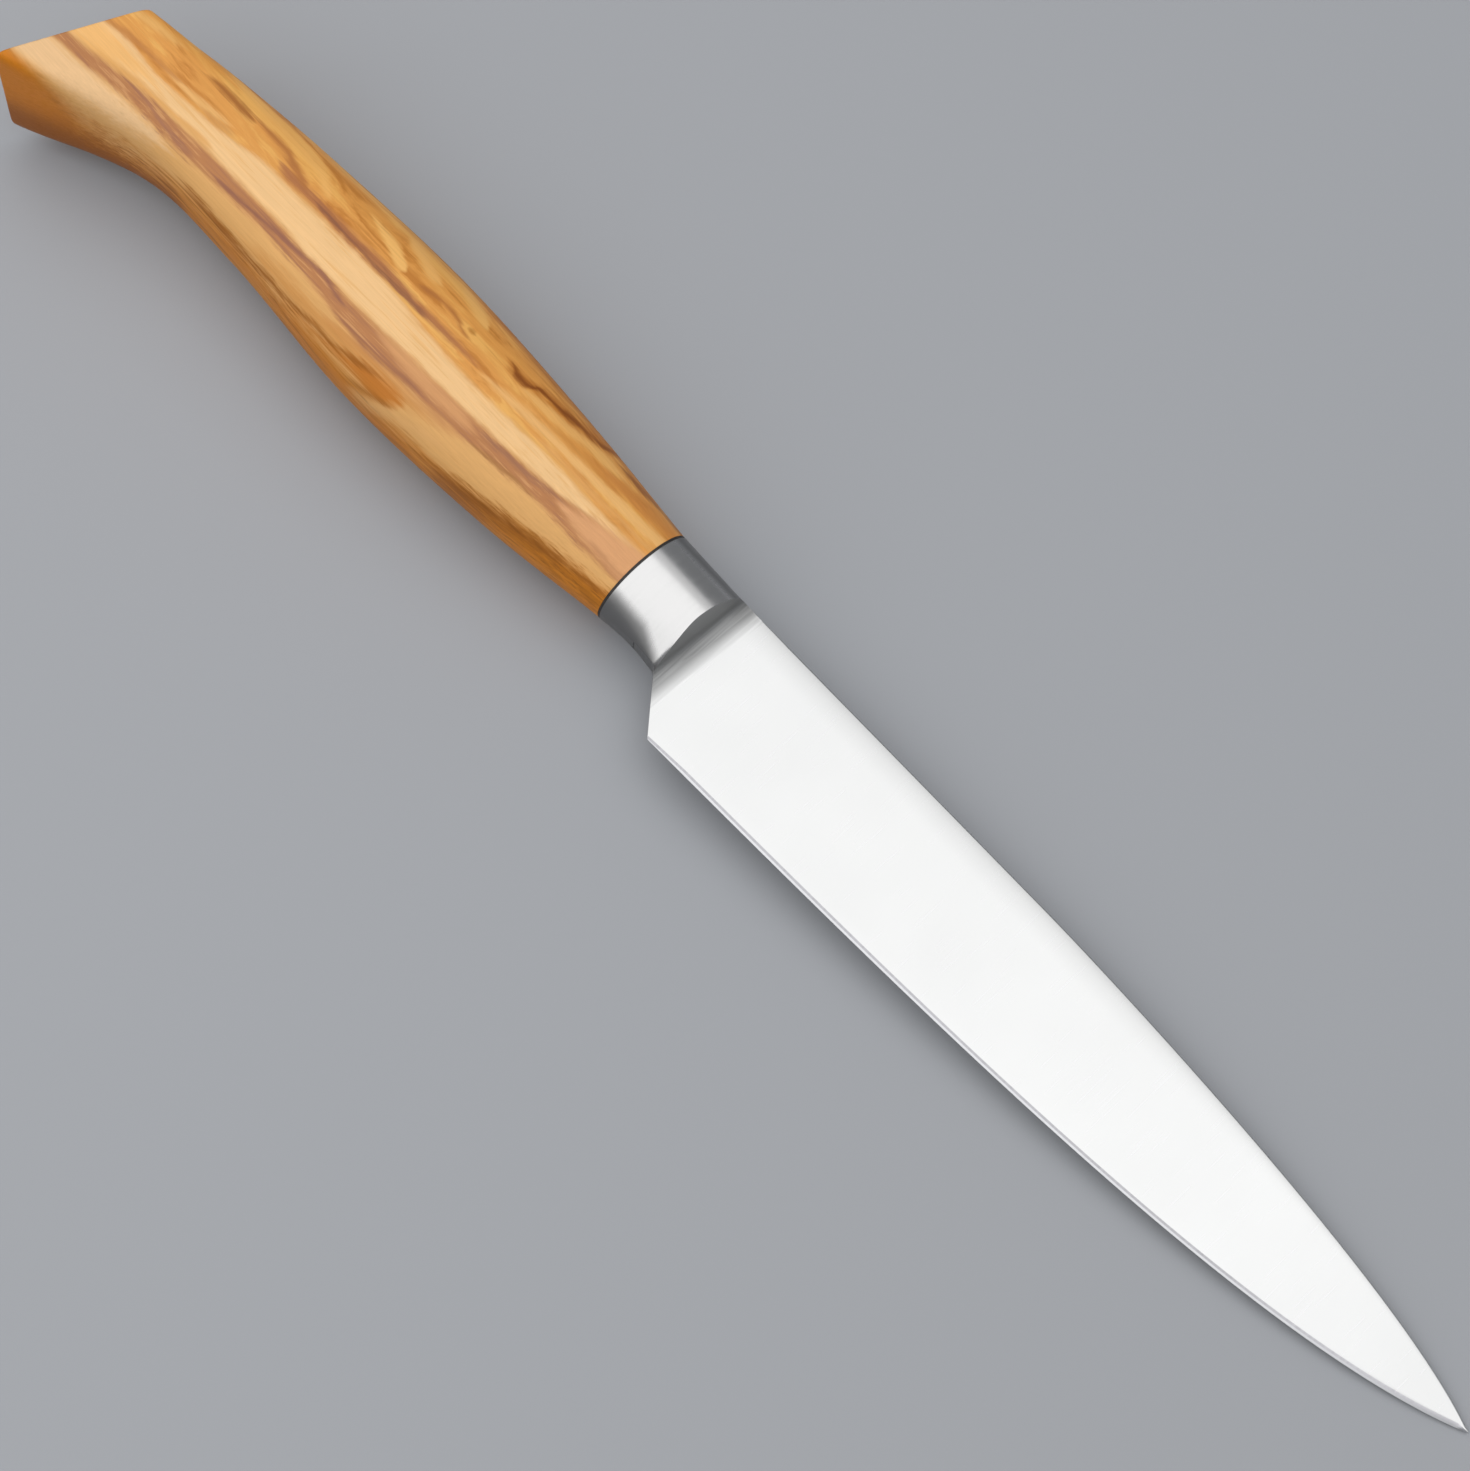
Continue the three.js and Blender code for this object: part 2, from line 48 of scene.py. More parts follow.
SPINE_HEIGHT = 7.0
SPINE_STRAIGHT_END = 64.1
SPINE_EASES = ((12, 0), (16.5, -22.2))  # where the spine drops and at the tip: length and slope in degrees
SPINE_ROUND = 0.2  # rounding of the spine's corners
ROUND_START, ROUND_RUN = 12.5, 6.0  # it grows over this length past the bolster
LEAST_ROUND = 0.1  # from this share of it
STUB_REAR = -7.0
STUB_END = 0.6  # length of the stub's last column
STUB_HALF_HEIGHT = 4.0
SHOULDER = 5.6
SHOULDER_STEP = 0.01
CHOIL = np.array([9.6, -7.2])
HEEL = np.array([15.785, -13.95])
TIP = np.array([141.5, -0.6])
EDGE_EASES = ((51, 1.2), (26, 24.7))  # the same for the edge, at the heel and at the tip
TIP_BLUNTING = 0.04
SHEET_HALF = 0.995
LIP_START = 10.2  # past here the weld fuses the blade into the bolster's lip
LIP_FUSED = 0.06
FLAT_START = 13.1
ACROSS_TAPER = 0.036272  # loss of half thickness for each millimetre below the spine
ALONG_TAPER = 0.002916  # and for each millimetre towards the tip
EDGE_HALF = 0.03
TIP_THINNING = 0.06  # taken off each side at the tip when it is sharpened
TIP_RUN = 20.0
HONED_WIDTH = 0.26  # bright fine strip at the edge
BEVEL_WIDTH = 0.56  # to the top of the grey sharpened band above it
HONED_AT_HEEL, BEVEL_AT_HEEL = 0.2, 0.6  # both start with this share of their width at the heel
BEVEL_RUN = 6.0  # and reach it over this length
LEAST_STRIP = 0.003  # share of the height that each strip keeps where the edge isn't sharpened
MOST_ROUND, MOST_BEVEL, MOST_HONED = 0.3, 0.45, 0.2  # shares of the height that they take at most
GRIP_COLUMNS, HEEL_COLUMNS, EDGE_COLUMNS, FLAT_ROWS = 9, 75, 190, 15
CRISP = 32  # edges past this angle in degrees stay sharp
SEAM = 0.0005  # points closer than this are joined
# Where the bolster grips the blade, both are ground flush: distance along, height of the blade there.
FLUSH_BELOW = [(SHOULDER, -6.86), (7.6, -7.0)]
FLUSH_ABOVE = [(SHOULDER, 7.05), (9.6, 6.91), (14.0, 6.91), (18.0, SPINE_HEIGHT)]


def lay_down(points):
    """Turn points on the knife's axes, in mm (x to the tip, y to the spine), to metres on the table."""
    x, y, z = np.moveaxis(np.asarray(points, float), -1, 0)
    along = x * math.cos(TILT) + z * math.sin(TILT) + SHIFT[0]
    up = z * math.cos(TILT) - x * math.sin(TILT) + SHIFT[2]
    return np.stack([along, y + SHIFT[1], up], -1) * MM


def linear(colour):
    """An sRGB hex value as a linear colour."""
    parts = [int(colour[i:i + 2], 16) / 255 for i in (1, 3, 5)]
    return [c / 12.92 if c <= 0.04045 else ((c + 0.055) / 1.055) ** 2.4 for c in parts] + [1.0]


def node_adder(tree):
    """The function that adds a node to a tree, with its inputs and its settings.

    A kind without a family is a shader node. Inputs are listed in order or given by socket, and each
    is a plain value, an output socket, or a node that gives its first output.
    """
    def add(kind, inputs=(), **settings):
        node = tree.nodes.new(kind if "Node" in kind else "ShaderNode" + kind)
        for name, value in settings.items():
            setattr(node, name, value)
        for key, value in inputs.items() if isinstance(inputs, dict) else enumerate(inputs):
            if isinstance(value, bpy.types.Node):
                value = value.outputs[0]
            if isinstance(value, bpy.types.NodeSocket):
                tree.links.new(value, node.inputs[key])
            else:
                node.inputs[key].default_value = value
        return node

    return add


def new_material(name):
    """An empty node material, its node adder, and the knife's own axes in millimetres to draw on."""
    material = bpy.data.materials.new(name)
    material.use_nodes = True
    material.node_tree.nodes.clear()
    add = node_adder(material.node_tree)
    axes = add("Mapping", {
        "Vector": add("TexCoord").outputs["Object"],
        "Location": [s * MM for s in SHIFT],
        "Rotation": (0, TILT, 0),
        "Scale": (MM, MM, MM),
    }, vector_type="TEXTURE")
    return material, add, axes


# The grind: a flat that falls to the edge and the tip, and the plunge where the wheel was lifted
# at the bolster, a slow hollow that ends in a steep wall. The plunge leans a little.
PLUNGE_END = 13.85
PLUNGE_LEAN = 0.055
HOLLOW_RADIUS = 6.6
WALL_START = 3.45  # back from the plunge's end
WALL_SLOPE = 6.0
WALL_EASE = 0.15
# Finish of the steel, with some painted shade and light.
# Tones are shares of a steel's colour, and dullness adds to its roughness.
NOISE_LOW, NOISE_HIGH = 0.3, 0.7  # nearly all of a noise lies between these
CLOUD_SIZE, CLOUD_TONE = 12.5, 0.94
WHEEL_MARKS = 1.7  # the wheel's coarser finish in the plunge comes in over this length
MARKS_LIGHT, MARKS_DARK, MARKS_DULL = 0.55, -0.62, 0.22
WALL_FADE = (WALL_START - 0.4, WALL_START + 0.2)  # they end where the steep wall starts
SPINE_FADE, SPINE_PAINTED_SHADE = 4.0, 0.13  # painted shade: the flat is drawn darker towards the spine over this height
BRIGHT_START, BRIGHT_END = 15.0, 110.0  # and painted light draws it a little brighter towards the tip
BRIGHT_LOW, BRIGHT_HIGH = -0.055, 0.02
BEVEL_START, BEVEL_END, BEVEL_PAINTED_GLINT = 108.0, 140.0, 0.4  # painted glint: the bevel is drawn brighter near the tip
SIDE_START, SIDE_FULL = 4.3, 5.8  # heights at which the bolster's narrow, duller sides with painted shade come in
# painted shade on the narrow sides, as a share of the colour, and the roughness they add
SIDE_PAINTED_SHADE, SIDE_DULL = -0.6, 0.1
TOE_START, TOE_END = 5.5, 10.0  # on the edge's side the dull strip of painted shade narrows over this length
TOE_RISE = 1.8


def ground_steel(name, colour, roughness, spread, line_pitch, line_length, line_depth, place=None):
    """Stainless steel with fine lines across the blade from a grinding belt.

    Its roughness spreads up and down along the lines, which have a pitch, a length and a depth.
    Real lines are under a tenth of a millimetre apart, and these are drawn coarser so that they show.
    The place adds the blade's plunge and its flat with painted shade at the spine and painted light
    towards the tip, the bevel's painted glint near the tip, or the bolster's dull sides with painted
    shade.
    A MapRange's inputs are its value, the range that this comes from and the range that it goes to.
    """
    material, add, axes = new_material(name)
    lines = add("Mapping", {"Vector": axes, "Scale": (1 / line_pitch, 1 / line_length, 1 / line_length)})
    scratch = add("TexNoise", {"Vector": lines, "Scale": 1.0, "Detail": 3.0})
    cloud = add("TexNoise", {"Vector": axes, "Scale": 1 / CLOUD_SIZE, "Detail": 2.0})
    tone = add("MapRange", [cloud, 0.0, 1.0, CLOUD_TONE, 1.0])
    gloss = add("MapRange", [scratch, NOISE_LOW, NOISE_HIGH, roughness - spread, roughness + spread])
    x, y, _ = add("SeparateXYZ", [axes]).outputs
    if place == "bolster":
        toe = add("MapRange", [x, TOE_START, TOE_END, 0.0, TOE_RISE])
        edge_side = add("Math", [y, 0.0], operation="LESS_THAN")
        toe = add("Math", [toe, edge_side], operation="MULTIPLY")
        height = add("Math", [y], operation="ABSOLUTE")
        height = add("Math", [height, toe], operation="SUBTRACT")
        # Painted shade: the narrow sides are drawn darker, and they are also rougher.
        side = add("MapRange", [height, SIDE_START, SIDE_FULL], interpolation_type="SMOOTHSTEP")
        tone = add("Math", [side, SIDE_PAINTED_SHADE, tone], operation="MULTIPLY_ADD")
        gloss = add("Math", [side, SIDE_DULL, gloss], operation="MULTIPLY_ADD")
    if place == "bevel":
        # Painted glint: the bevel is drawn brighter towards the tip.
        painted_light = add("MapRange", [x, BEVEL_START, BEVEL_END, 0.0, BEVEL_PAINTED_GLINT])
        tone = add("Math", [tone, painted_light], operation="ADD")
    if place == "blade":
        end = add("Math", [y, PLUNGE_LEAN, PLUNGE_END], operation="MULTIPLY_ADD")
        back = add("Math", [end, x], operation="SUBTRACT")
        frayed = add("Math", [scratch, WHEEL_MARKS, -WHEEL_MARKS / 2], operation="MULTIPLY_ADD")
        frayed = add("Math", [frayed, back], operation="ADD")
        coarse = add("MapRange", [frayed, 0.0, WHEEL_MARKS])
        wall = add("MapRange", [back, *WALL_FADE, 1.0, 0.0])
        marks = add("Math", [scratch, MARKS_LIGHT, MARKS_DARK], operation="MULTIPLY_ADD")
        marks = add("Math", [marks, wall], operation="MULTIPLY")
        tone = add("Math", [coarse, marks, tone], operation="MULTIPLY_ADD")
        gloss = add("Math", [coarse, MARKS_DULL, gloss], operation="MULTIPLY_ADD")
        # Painted shade: the flat is drawn darker towards the spine.
        spine = add("MapRange", [
            y, SPINE_HEIGHT - SPINE_FADE, SPINE_HEIGHT, 0.0, SPINE_PAINTED_SHADE], interpolation_type="SMOOTHSTEP")
        tone = add("Math", [tone, spine], operation="SUBTRACT")
        # Painted light: the flat is drawn a little brighter towards the tip.
        painted_light = add("MapRange", [x, BRIGHT_START, BRIGHT_END, BRIGHT_LOW, BRIGHT_HIGH])
        tone = add("Math", [tone, painted_light], operation="ADD")
    shade = add("VectorMath", {0: linear(colour)[:3], 3: tone}, operation="SCALE")
    relief = add("Bump", {"Height": scratch, "Strength": 1.0, "Distance": line_depth * MM})
    shader = add("BsdfPrincipled", {
        "Base Color": shade, "Metallic": 1.0, "Roughness": gloss, "Normal": relief})
    add("OutputMaterial", [shader])
    return material


def smooth(mesh, crisp):
    """Close a mesh's seams and shade it smooth, apart from edges past the crisp angle."""
    form = bmesh.new()
    form.from_mesh(mesh)
    bmesh.ops.remove_doubles(form, verts=form.verts, dist=SEAM * MM)
    bmesh.ops.recalc_face_normals(form, faces=form.faces)
    form.to_mesh(mesh)
    form.free()
    mesh.polygons.foreach_set("use_smooth", [True] * len(mesh.polygons))
    mesh.set_sharp_from_angle(angle=math.radians(crisp))


def shell(name, points, faces, materials, face_materials=None):
    """A closed piece from points on the knife's axes."""
    mesh = bpy.data.meshes.new(name)
    mesh.from_pydata(lay_down(points).tolist(), [], faces)
    for material in materials:
        mesh.materials.append(material)
    if face_materials is not None:
        mesh.polygons.foreach_set("material_index", face_materials)
    smooth(mesh, CRISP)
    piece = bpy.data.objects.new(name, mesh)
    bpy.context.scene.collection.objects.link(piece)
    return piece


def curve(start, end, eases, count=600):
    """Points along a cubic curve. An ease is the length and the slope of its handle at an end."""
    turns = [math.radians(slope) for _, slope in eases]
    near, far = [run * np.array([math.cos(t), math.sin(t)]) for (run, _), t in zip(eases, turns)]
    t = np.linspace(0, 1, count)[:, None]
    s = 1 - t
    return s**3 * start + 3 * s * s * t * (start + near) + 3 * s * t * t * (end - far) + t**3 * end


def plunge_rise(back):
    """Height of the plunge over the flat, at a distance back from the plunge's end."""
    back = np.maximum(back, 0)
    past = back - WALL_START
    wall = WALL_SLOPE * (past + np.sqrt(past**2 + WALL_EASE**2)) / 2
    start = WALL_SLOPE * (math.hypot(WALL_START, WALL_EASE) - WALL_START) / 2
    return back**2 / (2 * HOLLOW_RADIUS) + np.maximum(wall - start, 0)


def ground_height(x, y):
    """Half thickness that the wheel leaves, plunge included."""
    flat = 1 - ACROSS_TAPER * (SPINE_HEIGHT - y) - ALONG_TAPER * (x - FLAT_START)
    return flat + plunge_rise(PLUNGE_END + PLUNGE_LEAN * y - x)


SATIN, BEVEL, HONED, POLISHED = range(4)


def blade_mesh():
    """Points, faces and face materials of the blade: columns along it, rows from edge to spine."""
    edge = curve(HEEL, TIP, EDGE_EASES)
    spine = curve(np.array([SPINE_STRAIGHT_END, SPINE_HEIGHT]), TIP, SPINE_EASES)
    stub_front = SHOULDER - SHOULDER_STEP
    root = np.array([STUB_REAR, STUB_REAR + STUB_END, 0, stub_front])  # columns of the stub
    grip = np.linspace(SHOULDER, CHOIL[0], GRIP_COLUMNS)
    heel = np.linspace(CHOIL[0], HEEL[0], HEEL_COLUMNS)[1:]
    crowding = np.sin(np.linspace(0, np.pi / 2, EDGE_COLUMNS))[1:]  # columns crowd towards the tip
    run = HEEL[0] + (TIP[0] - TIP_BLUNTING - HEEL[0]) * crowding
    xs = np.concatenate([root, grip, heel, run])
    stub = np.array([(STUB_REAR, STUB_HALF_HEIGHT), (stub_front, STUB_HALF_HEIGHT)])
    lower = np.concatenate([stub * (1, -1), FLUSH_BELOW, [CHOIL], edge])
    upper = np.concatenate([stub, FLUSH_ABOVE, spine])
    low = np.interp(xs, lower[:, 0], lower[:, 1])
    high = np.interp(xs, upper[:, 0], upper[:, 1])
    edge_y = np.interp(xs, edge[:, 0], edge[:, 1])
    slope = np.interp(xs, edge[:, 0], np.gradient(edge[:, 1], edge[:, 0]))
    steep = np.sqrt(1 + slope**2)
    tall = high - low

    # Strips along the edge and the spine. At the tip each takes at most a share of the height left.
    spine_round = SPINE_ROUND * np.clip((xs - ROUND_START) / ROUND_RUN, LEAST_ROUND, 1)
    spine_round = np.minimum(spine_round, MOST_ROUND * tall)
    widening = np.clip((xs - HEEL[0]) / BEVEL_RUN, 0, 1)
    bevel = BEVEL_WIDTH * steep * (BEVEL_AT_HEEL + (1 - BEVEL_AT_HEEL) * widening)
    bevel = np.minimum(bevel, MOST_BEVEL * tall)
    honed = HONED_WIDTH * steep * (HONED_AT_HEEL + (1 - HONED_AT_HEEL) * widening)
    honed = np.minimum(honed, MOST_HONED * tall)
    sharp = edge_y + bevel > low + 2 * LEAST_STRIP * tall
    rows = [low]
    for number, strip in enumerate((honed, bevel), 1):
        rows.append(np.maximum(edge_y + strip, low + number * LEAST_STRIP * tall))
    top = high - spine_round
    for share in np.linspace(0, 1, FLAT_ROWS)[1:]:
        rows.append(rows[2] + (top - rows[2]) * share)
    for turn in (30, 60, 90):
        rows.append(top + spine_round * math.sin(math.radians(turn)))
    y = np.stack(rows, 1)
    x = np.repeat(xs[:, None], y.shape[1], 1)

    # Half thickness: ground, thinned at the tip, sharpened at the edge and rounded at the spine.
    sheet = np.where(xs > LIP_START, SHEET_HALF + LIP_FUSED, SHEET_HALF)
    half = np.minimum(ground_height(x, y), sheet[:, None])
    thinned = TIP_THINNING * np.clip((xs - TIP[0]) / TIP_RUN + 1, 0, 1) ** 2
    half = half - thinned[:, None]
    bevel_start = np.minimum(ground_height(xs, edge_y + bevel), SHEET_HALF) - thinned
    rise = (y - edge_y[:, None]) / bevel[:, None]
    sharpened = EDGE_HALF + (bevel_start - EDGE_HALF)[:, None] * rise
    half = np.where(x >= CHOIL[0], np.minimum(half, sharpened), half)
    half = np.maximum(half, EDGE_HALF)
    past = np.clip(y - top[:, None], 0, None) / spine_round[:, None]
    half = half - spine_round[:, None] * (1 - np.sqrt(np.clip(1 - past**2, 0, 1)))
    half = np.maximum(half, EDGE_HALF)

    # Both sides, then the strips that close them along the edge, along the spine and at the ends.
    # The two lowest rows of a side are the honed strip and the bevel.
    columns, count = x.shape
    upper = np.stack([x, y, half], -1).reshape(-1, 3)
    lower = upper * (1, 1, -1)
    size = columns * count
    faces, marks = [], []
    for i in range(columns - 1):
        for j in range(count - 1):
            a = i * count + j
            b = a + count
            mark = SATIN if xs[i] >= CHOIL[0] else POLISHED
            if j < 2 and sharp[i] and xs[i] >= CHOIL[0]:
                mark = HONED if j == 0 and xs[i] >= HEEL[0] else BEVEL
            faces += [(a, b, b + 1, a + 1), (size + a, size + a + 1, size + b + 1, size + b)]
            marks += [mark, mark]
    flush_end = PLUNGE_END + PLUNGE_LEAN * SPINE_HEIGHT - WALL_START
    for i in range(columns - 1):
        for j, polish_end in ((0, CHOIL[0]), (count - 1, flush_end)):
            a = i * count + j
            b = a + count
            faces.append((a, size + a, size + b, b))
            marks.append(SATIN if xs[i] >= polish_end else POLISHED)
    for i in (0, columns - 1):
        for j in range(count - 1):
            a = i * count + j
            faces.append((a, a + 1, size + a + 1, size + a))
            marks.append(SATIN)
    return np.concatenate([upper, lower]), faces, marks


# Satin ground stainless: near white under a broad light, with faint lines across the blade,
# painted shade towards the spine and painted light towards the tip.
satin_steel = ground_steel(
    "stainless steel, satin ground", "#D2D2D1", roughness=0.28, spread=0.008,
    line_pitch=0.3, line_length=9.0, line_depth=0.00012, place="blade")
# Sharpening stone leaves coarser scratches, so the bevel looks a duller grey; near the tip it has a
# painted glint.
bevel_steel = ground_steel(
    "stainless steel, stone sharpened", "#B0AFB2", roughness=0.45, spread=0.08,
    line_pitch=0.3, line_length=1.2, line_depth=0.012, place="bevel")
# Honing closes those scratches into a bright line at the very edge.
honed_steel = ground_steel(
    "stainless steel, honed", "#C8C8CA", roughness=0.35, spread=0.05,
    line_pitch=0.3, line_length=2.0, line_depth=0.002)
# Satin polished stainless: smoother than the blade, so the light's edges show along the bolster's
# sides, and painted shade darkens its narrow sides. The blade has it where the bolster grips it, as both
# are polished together.
polished_steel = ground_steel(
    "stainless steel, satin polished", "#C8C7C6", roughness=0.24, spread=0.03,
    line_pitch=0.5, line_length=4.0, line_depth=0.001, place="bolster")

points, faces, marks = blade_mesh()
blade = shell("knife_blade", points, faces, [satin_steel, bevel_steel, honed_steel, polished_steel], marks)
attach(blade, "root")
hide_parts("blade")

# Bolster
# A forged steel collar, forked over the blade, welded to it and ground to one surface with it.
# Oval at the rear, where the handle meets it, with a slightly hollow underside for the finger.
BOLSTER_REAR = -0.06
BOLSTER_LENGTH = 9.6
RING_HALF_HEIGHT = 7.35
RING_HALF_THICKNESS = 6.35
FRONT_HALF_THICKNESS = 6.25
FRONT_BOTTOM = 7.2
TOE_SLOPE = (CHOIL[1] - HEEL[1]) / (HEEL[0] - CHOIL[0])  # past the choil the bolster follows the heel
UNDERSIDE_HOLLOW = 0.35
REAR_FLAT = 0.1
FRONT_FLAT = 1.4
SIDE_EASE = 0.35  # how soon the lower side runs straight at the front
SLOT_HALF = 1.0
JOINT_GAP = 0.1  # round the stub
WELD_GROOVE = 1.2  # depth and width of the groove for the weld
OUTSIDE = 30.0  # well clear of the bolster
FRONT_HALF = 0.9  # the plunge runs on to here, inside the slot
SEARCH_END = PLUNGE_END + 1.2
ARC_END = SEARCH_END - 0.6  # the plunge's crisp edge stays behind this
PAST_EDGE = 0.05
HALVINGS = 60
AROUND = 96
ALONG = 26
IN_PLUNGE = 40
PLUNGE_CROWDING = 2.2  # points crowd towards the crisp edge by this power


def bolster_section(angle, x):
    """Height and half width of the bar at an angle from its top, before the plunge is ground."""
    front = np.clip(x / BOLSTER_LENGTH, 0, 1)
    top = RING_HALF_HEIGHT + (SPINE_HEIGHT - RING_HALF_HEIGHT) * front
    bottom = RING_HALF_HEIGHT + (FRONT_BOTTOM - RING_HALF_HEIGHT) * front
    bottom = bottom - UNDERSIDE_HOLLOW * np.sin(np.pi * front)
    bottom = bottom + TOE_SLOPE * np.maximum(x - BOLSTER_LENGTH, 0)
    half = RING_HALF_THICKNESS + (FRONT_HALF_THICKNESS - RING_HALF_THICKNESS) * front
    flat = REAR_FLAT + (FRONT_FLAT - REAR_FLAT) * front
    up, oval = np.cos(angle), np.sin(angle)
    straight = 1 - (np.sqrt(up**2 + SIDE_EASE**2) - SIDE_EASE) / (math.hypot(1, SIDE_EASE) - SIDE_EASE)
    side = flat + (half - flat) * (oval + (straight - oval) * front)
    return np.where(up >= 0, top * up, bottom * up), np.where(up >= 0, half * oval, side)


def last_place(near, holds):
    """The last place along the bolster, at each angle, where a condition holds, by halving."""
    far = np.full_like(near, SEARCH_END)
    for _ in range(HALVINGS):
        middle = (near + far) / 2
        held = holds(middle)
        near, far = np.where(held, middle, near), np.where(held, far, middle)
    return near


def bolster_mesh():
    """One grid from the rear ring to the plunge's crisp edge and down the plunge, mirrored and closed.

    Gives points, faces and face materials: 0 on the polished outside and 1 in the satin plunge.
    """
    angle = np.linspace(0, np.pi, AROUND + 1)

    def under_the_wheel(x):
        """Where the bar is thinner than what the wheel leaves."""
        y, z = bolster_section(angle, x)
        return z <= ground_height(x, y)

    def thicker_than_front(x):
        """Where the plunge is still above its front end, inside the slot."""
        return ground_height(x, bolster_section(angle, x)[0]) > FRONT_HALF

    arc = np.minimum(last_place(np.zeros_like(angle), under_the_wheel), ARC_END)
    share = np.linspace(0, 1, ALONG + 1)
    x = BOLSTER_REAR + (arc - BOLSTER_REAR)[:, None] * share
    y, z = bolster_section(angle[:, None], x)
    front = last_place(arc + PAST_EDGE, thicker_than_front)
    share = np.linspace(0, 1, IN_PLUNGE + 1)[1:] ** PLUNGE_CROWDING
    down_x = arc[:, None] + (front - arc)[:, None] * share
    down_y, _ = bolster_section(angle[:, None], down_x)
    down_z = np.minimum(ground_height(down_x, down_y), z[:, -1:])
    grids = ((x, down_x), (y, down_y), (z, down_z))
    side = np.stack([np.concatenate(grid, 1) for grid in grids], -1)
    side[0, :, 2] = 0
    columns = side.shape[1]
    points = np.concatenate([side.reshape(-1, 3), side.reshape(-1, 3) * (1, 1, -1)])
    other = (AROUND + 1) * columns
    faces, marks = [], []
    for j in range(AROUND):
        for i in range(columns - 1):
            a = j * columns + i
            b = a + columns
            faces += [(a, a + 1, b + 1, b), (other + a, other + b, other + b + 1, other + a + 1)]
            marks += [int(i >= ALONG)] * 2
        for i in (0, columns - 1):
            a = j * columns + i
            b = a + columns
            faces.append((a, b, other + b, other + a))
            marks.append(0)
    base = AROUND * columns
    for i in range(columns - 1):
        faces.append((base + i, base + i + 1, other + base + i + 1, other + base + i))
        marks.append(0)
    return points, faces, marks


def cut_bar(piece, rear, front, half_height, half_width):
    """Cut a bar along the knife's length, in its middle, out of a piece."""
    points = [(x, y, z) for x in (rear, front) for y in (-half_height, half_height)
              for z in (-half_width, half_width)]
    faces = [(0, 1, 3, 2), (4, 6, 7, 5), (0, 4, 5, 1), (2, 3, 7, 6), (0, 2, 6, 4), (1, 5, 7, 3)]
    tool = shell("cutter", points, faces, list(piece.data.materials[:1]))
    cut = piece.modifiers.new("cut", "BOOLEAN")
    cut.operation = "DIFFERENCE"
    cut.solver = "EXACT"
    cut.object = tool
    evaluated = piece.evaluated_get(bpy.context.evaluated_depsgraph_get())
    mesh = bpy.data.meshes.new_from_object(evaluated)
    piece.modifiers.remove(cut)
    piece.data = mesh
    bpy.data.objects.remove(tool)


points, faces, marks = bolster_mesh()
bolster = shell("knife_bolster", points, faces, [polished_steel, satin_steel], marks)
stub_slot = (STUB_HALF_HEIGHT + JOINT_GAP, SLOT_HALF + JOINT_GAP)
groove = [half + WELD_GROOVE for half in stub_slot]
# The fork over the blade, the stub's slot that runs into it, and the groove for the weld.
cut_bar(bolster, SHOULDER - SHOULDER_STEP, OUTSIDE, OUTSIDE, SLOT_HALF)
cut_bar(bolster, -OUTSIDE, SHOULDER + 1, *stub_slot)
cut_bar(bolster, -OUTSIDE, WELD_GROOVE, *groove)
bolster.data.set_sharp_from_angle(angle=math.radians(CRISP))
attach(bolster, "root")
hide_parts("bolster")

# Welds
# Two beads of stainless filler: one round the stub in the bolster's rear face, one that joins the tang.
# Both are hidden once the handle is on, so they are left as welded.
RIPPLE_PITCH = 1.9635
weld_metal, add, axes = new_material("weld metal, as welded")
# Overlapping ripples, straw and grey where the heat coloured the steel. At a scale of one, a wave's
# bands are a tenth of pi apart.
ripple = add("TexWave", {
    "Vector": axes, "Scale": math.pi / 10 / RIPPLE_PITCH, "Distortion": 3.0, "Detail": 2.0,
}, bands_direction="Y")
heat = add("ValToRGB", [ripple])
heat.color_ramp.elements[0].color = linear("#5E5750")
heat.color_ramp.elements[1].color = linear("#A39A8C")
relief = add("Bump", {"Height": ripple, "Distance": 0.08 * MM})
shader = add("BsdfPrincipled", {"Base Color": heat, "Metallic": 1.0, "Roughness": 0.5, "Normal": relief})
add("OutputMaterial", [shader])
for node in ("bolster_weld", "tang_weld"):
    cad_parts[node].material_slots[0].material = weld_metal

# Tang
# A strip of plain steel, welded to the blade's stub, that carries the handle. Round notches along
# both edges key it into the adhesive. It is left as rolled, since the wood hides it.
SCALE_PATCH = 2.857
raw_steel, add, axes = new_material("rolled steel, mill finish")
# Dull grey with darker patches of mill scale.
scale = add("TexNoise", {"Vector": axes, "Scale": 1 / SCALE_PATCH, "Detail": 5.0})
patches = add("ValToRGB", [scale])
patches.color_ramp.elements[0].position = 0.35
patches.color_ramp.elements[0].color = linear("#6F7175")
patches.color_ramp.elements[1].position = 0.7
patches.color_ramp.elements[1].color = linear("#A2A4A7")
dull = add("MapRange", [scale, 0.0, 1.0, 0.6, 0.4])
shader = add("BsdfPrincipled", {"Base Color": patches, "Metallic": 1.0, "Roughness": dull})
add("OutputMaterial", [shader])
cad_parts["tang"].material_slots[0].material = raw_steel

# Spacer
# A thin oval of black vulcanised fibre, glued between the bolster and the wood.
# Its edge is the fine dark line round the knife.
STRAND_SIZE = 0.5556
black_fibre, add, axes = new_material("vulcanised fibre, black")
# Matt near black, with short paler fibres that show only close up.
strands = add("TexNoise", {"Vector": axes, "Scale": 1 / STRAND_SIZE, "Detail": 4.0, "Roughness": 0.7})
fleck = add("ValToRGB", [strands])
fleck.color_ramp.elements[0].position = 0.35
fleck.color_ramp.elements[0].color = linear("#1C1815")
fleck.color_ramp.elements[1].position = 0.75
fleck.color_ramp.elements[1].color = linear("#3A332D")
add("OutputMaterial", [add("BsdfPrincipled", {"Base Color": fleck, "Roughness": 0.6})])
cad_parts["spacer"].material_slots[0].material = black_fibre

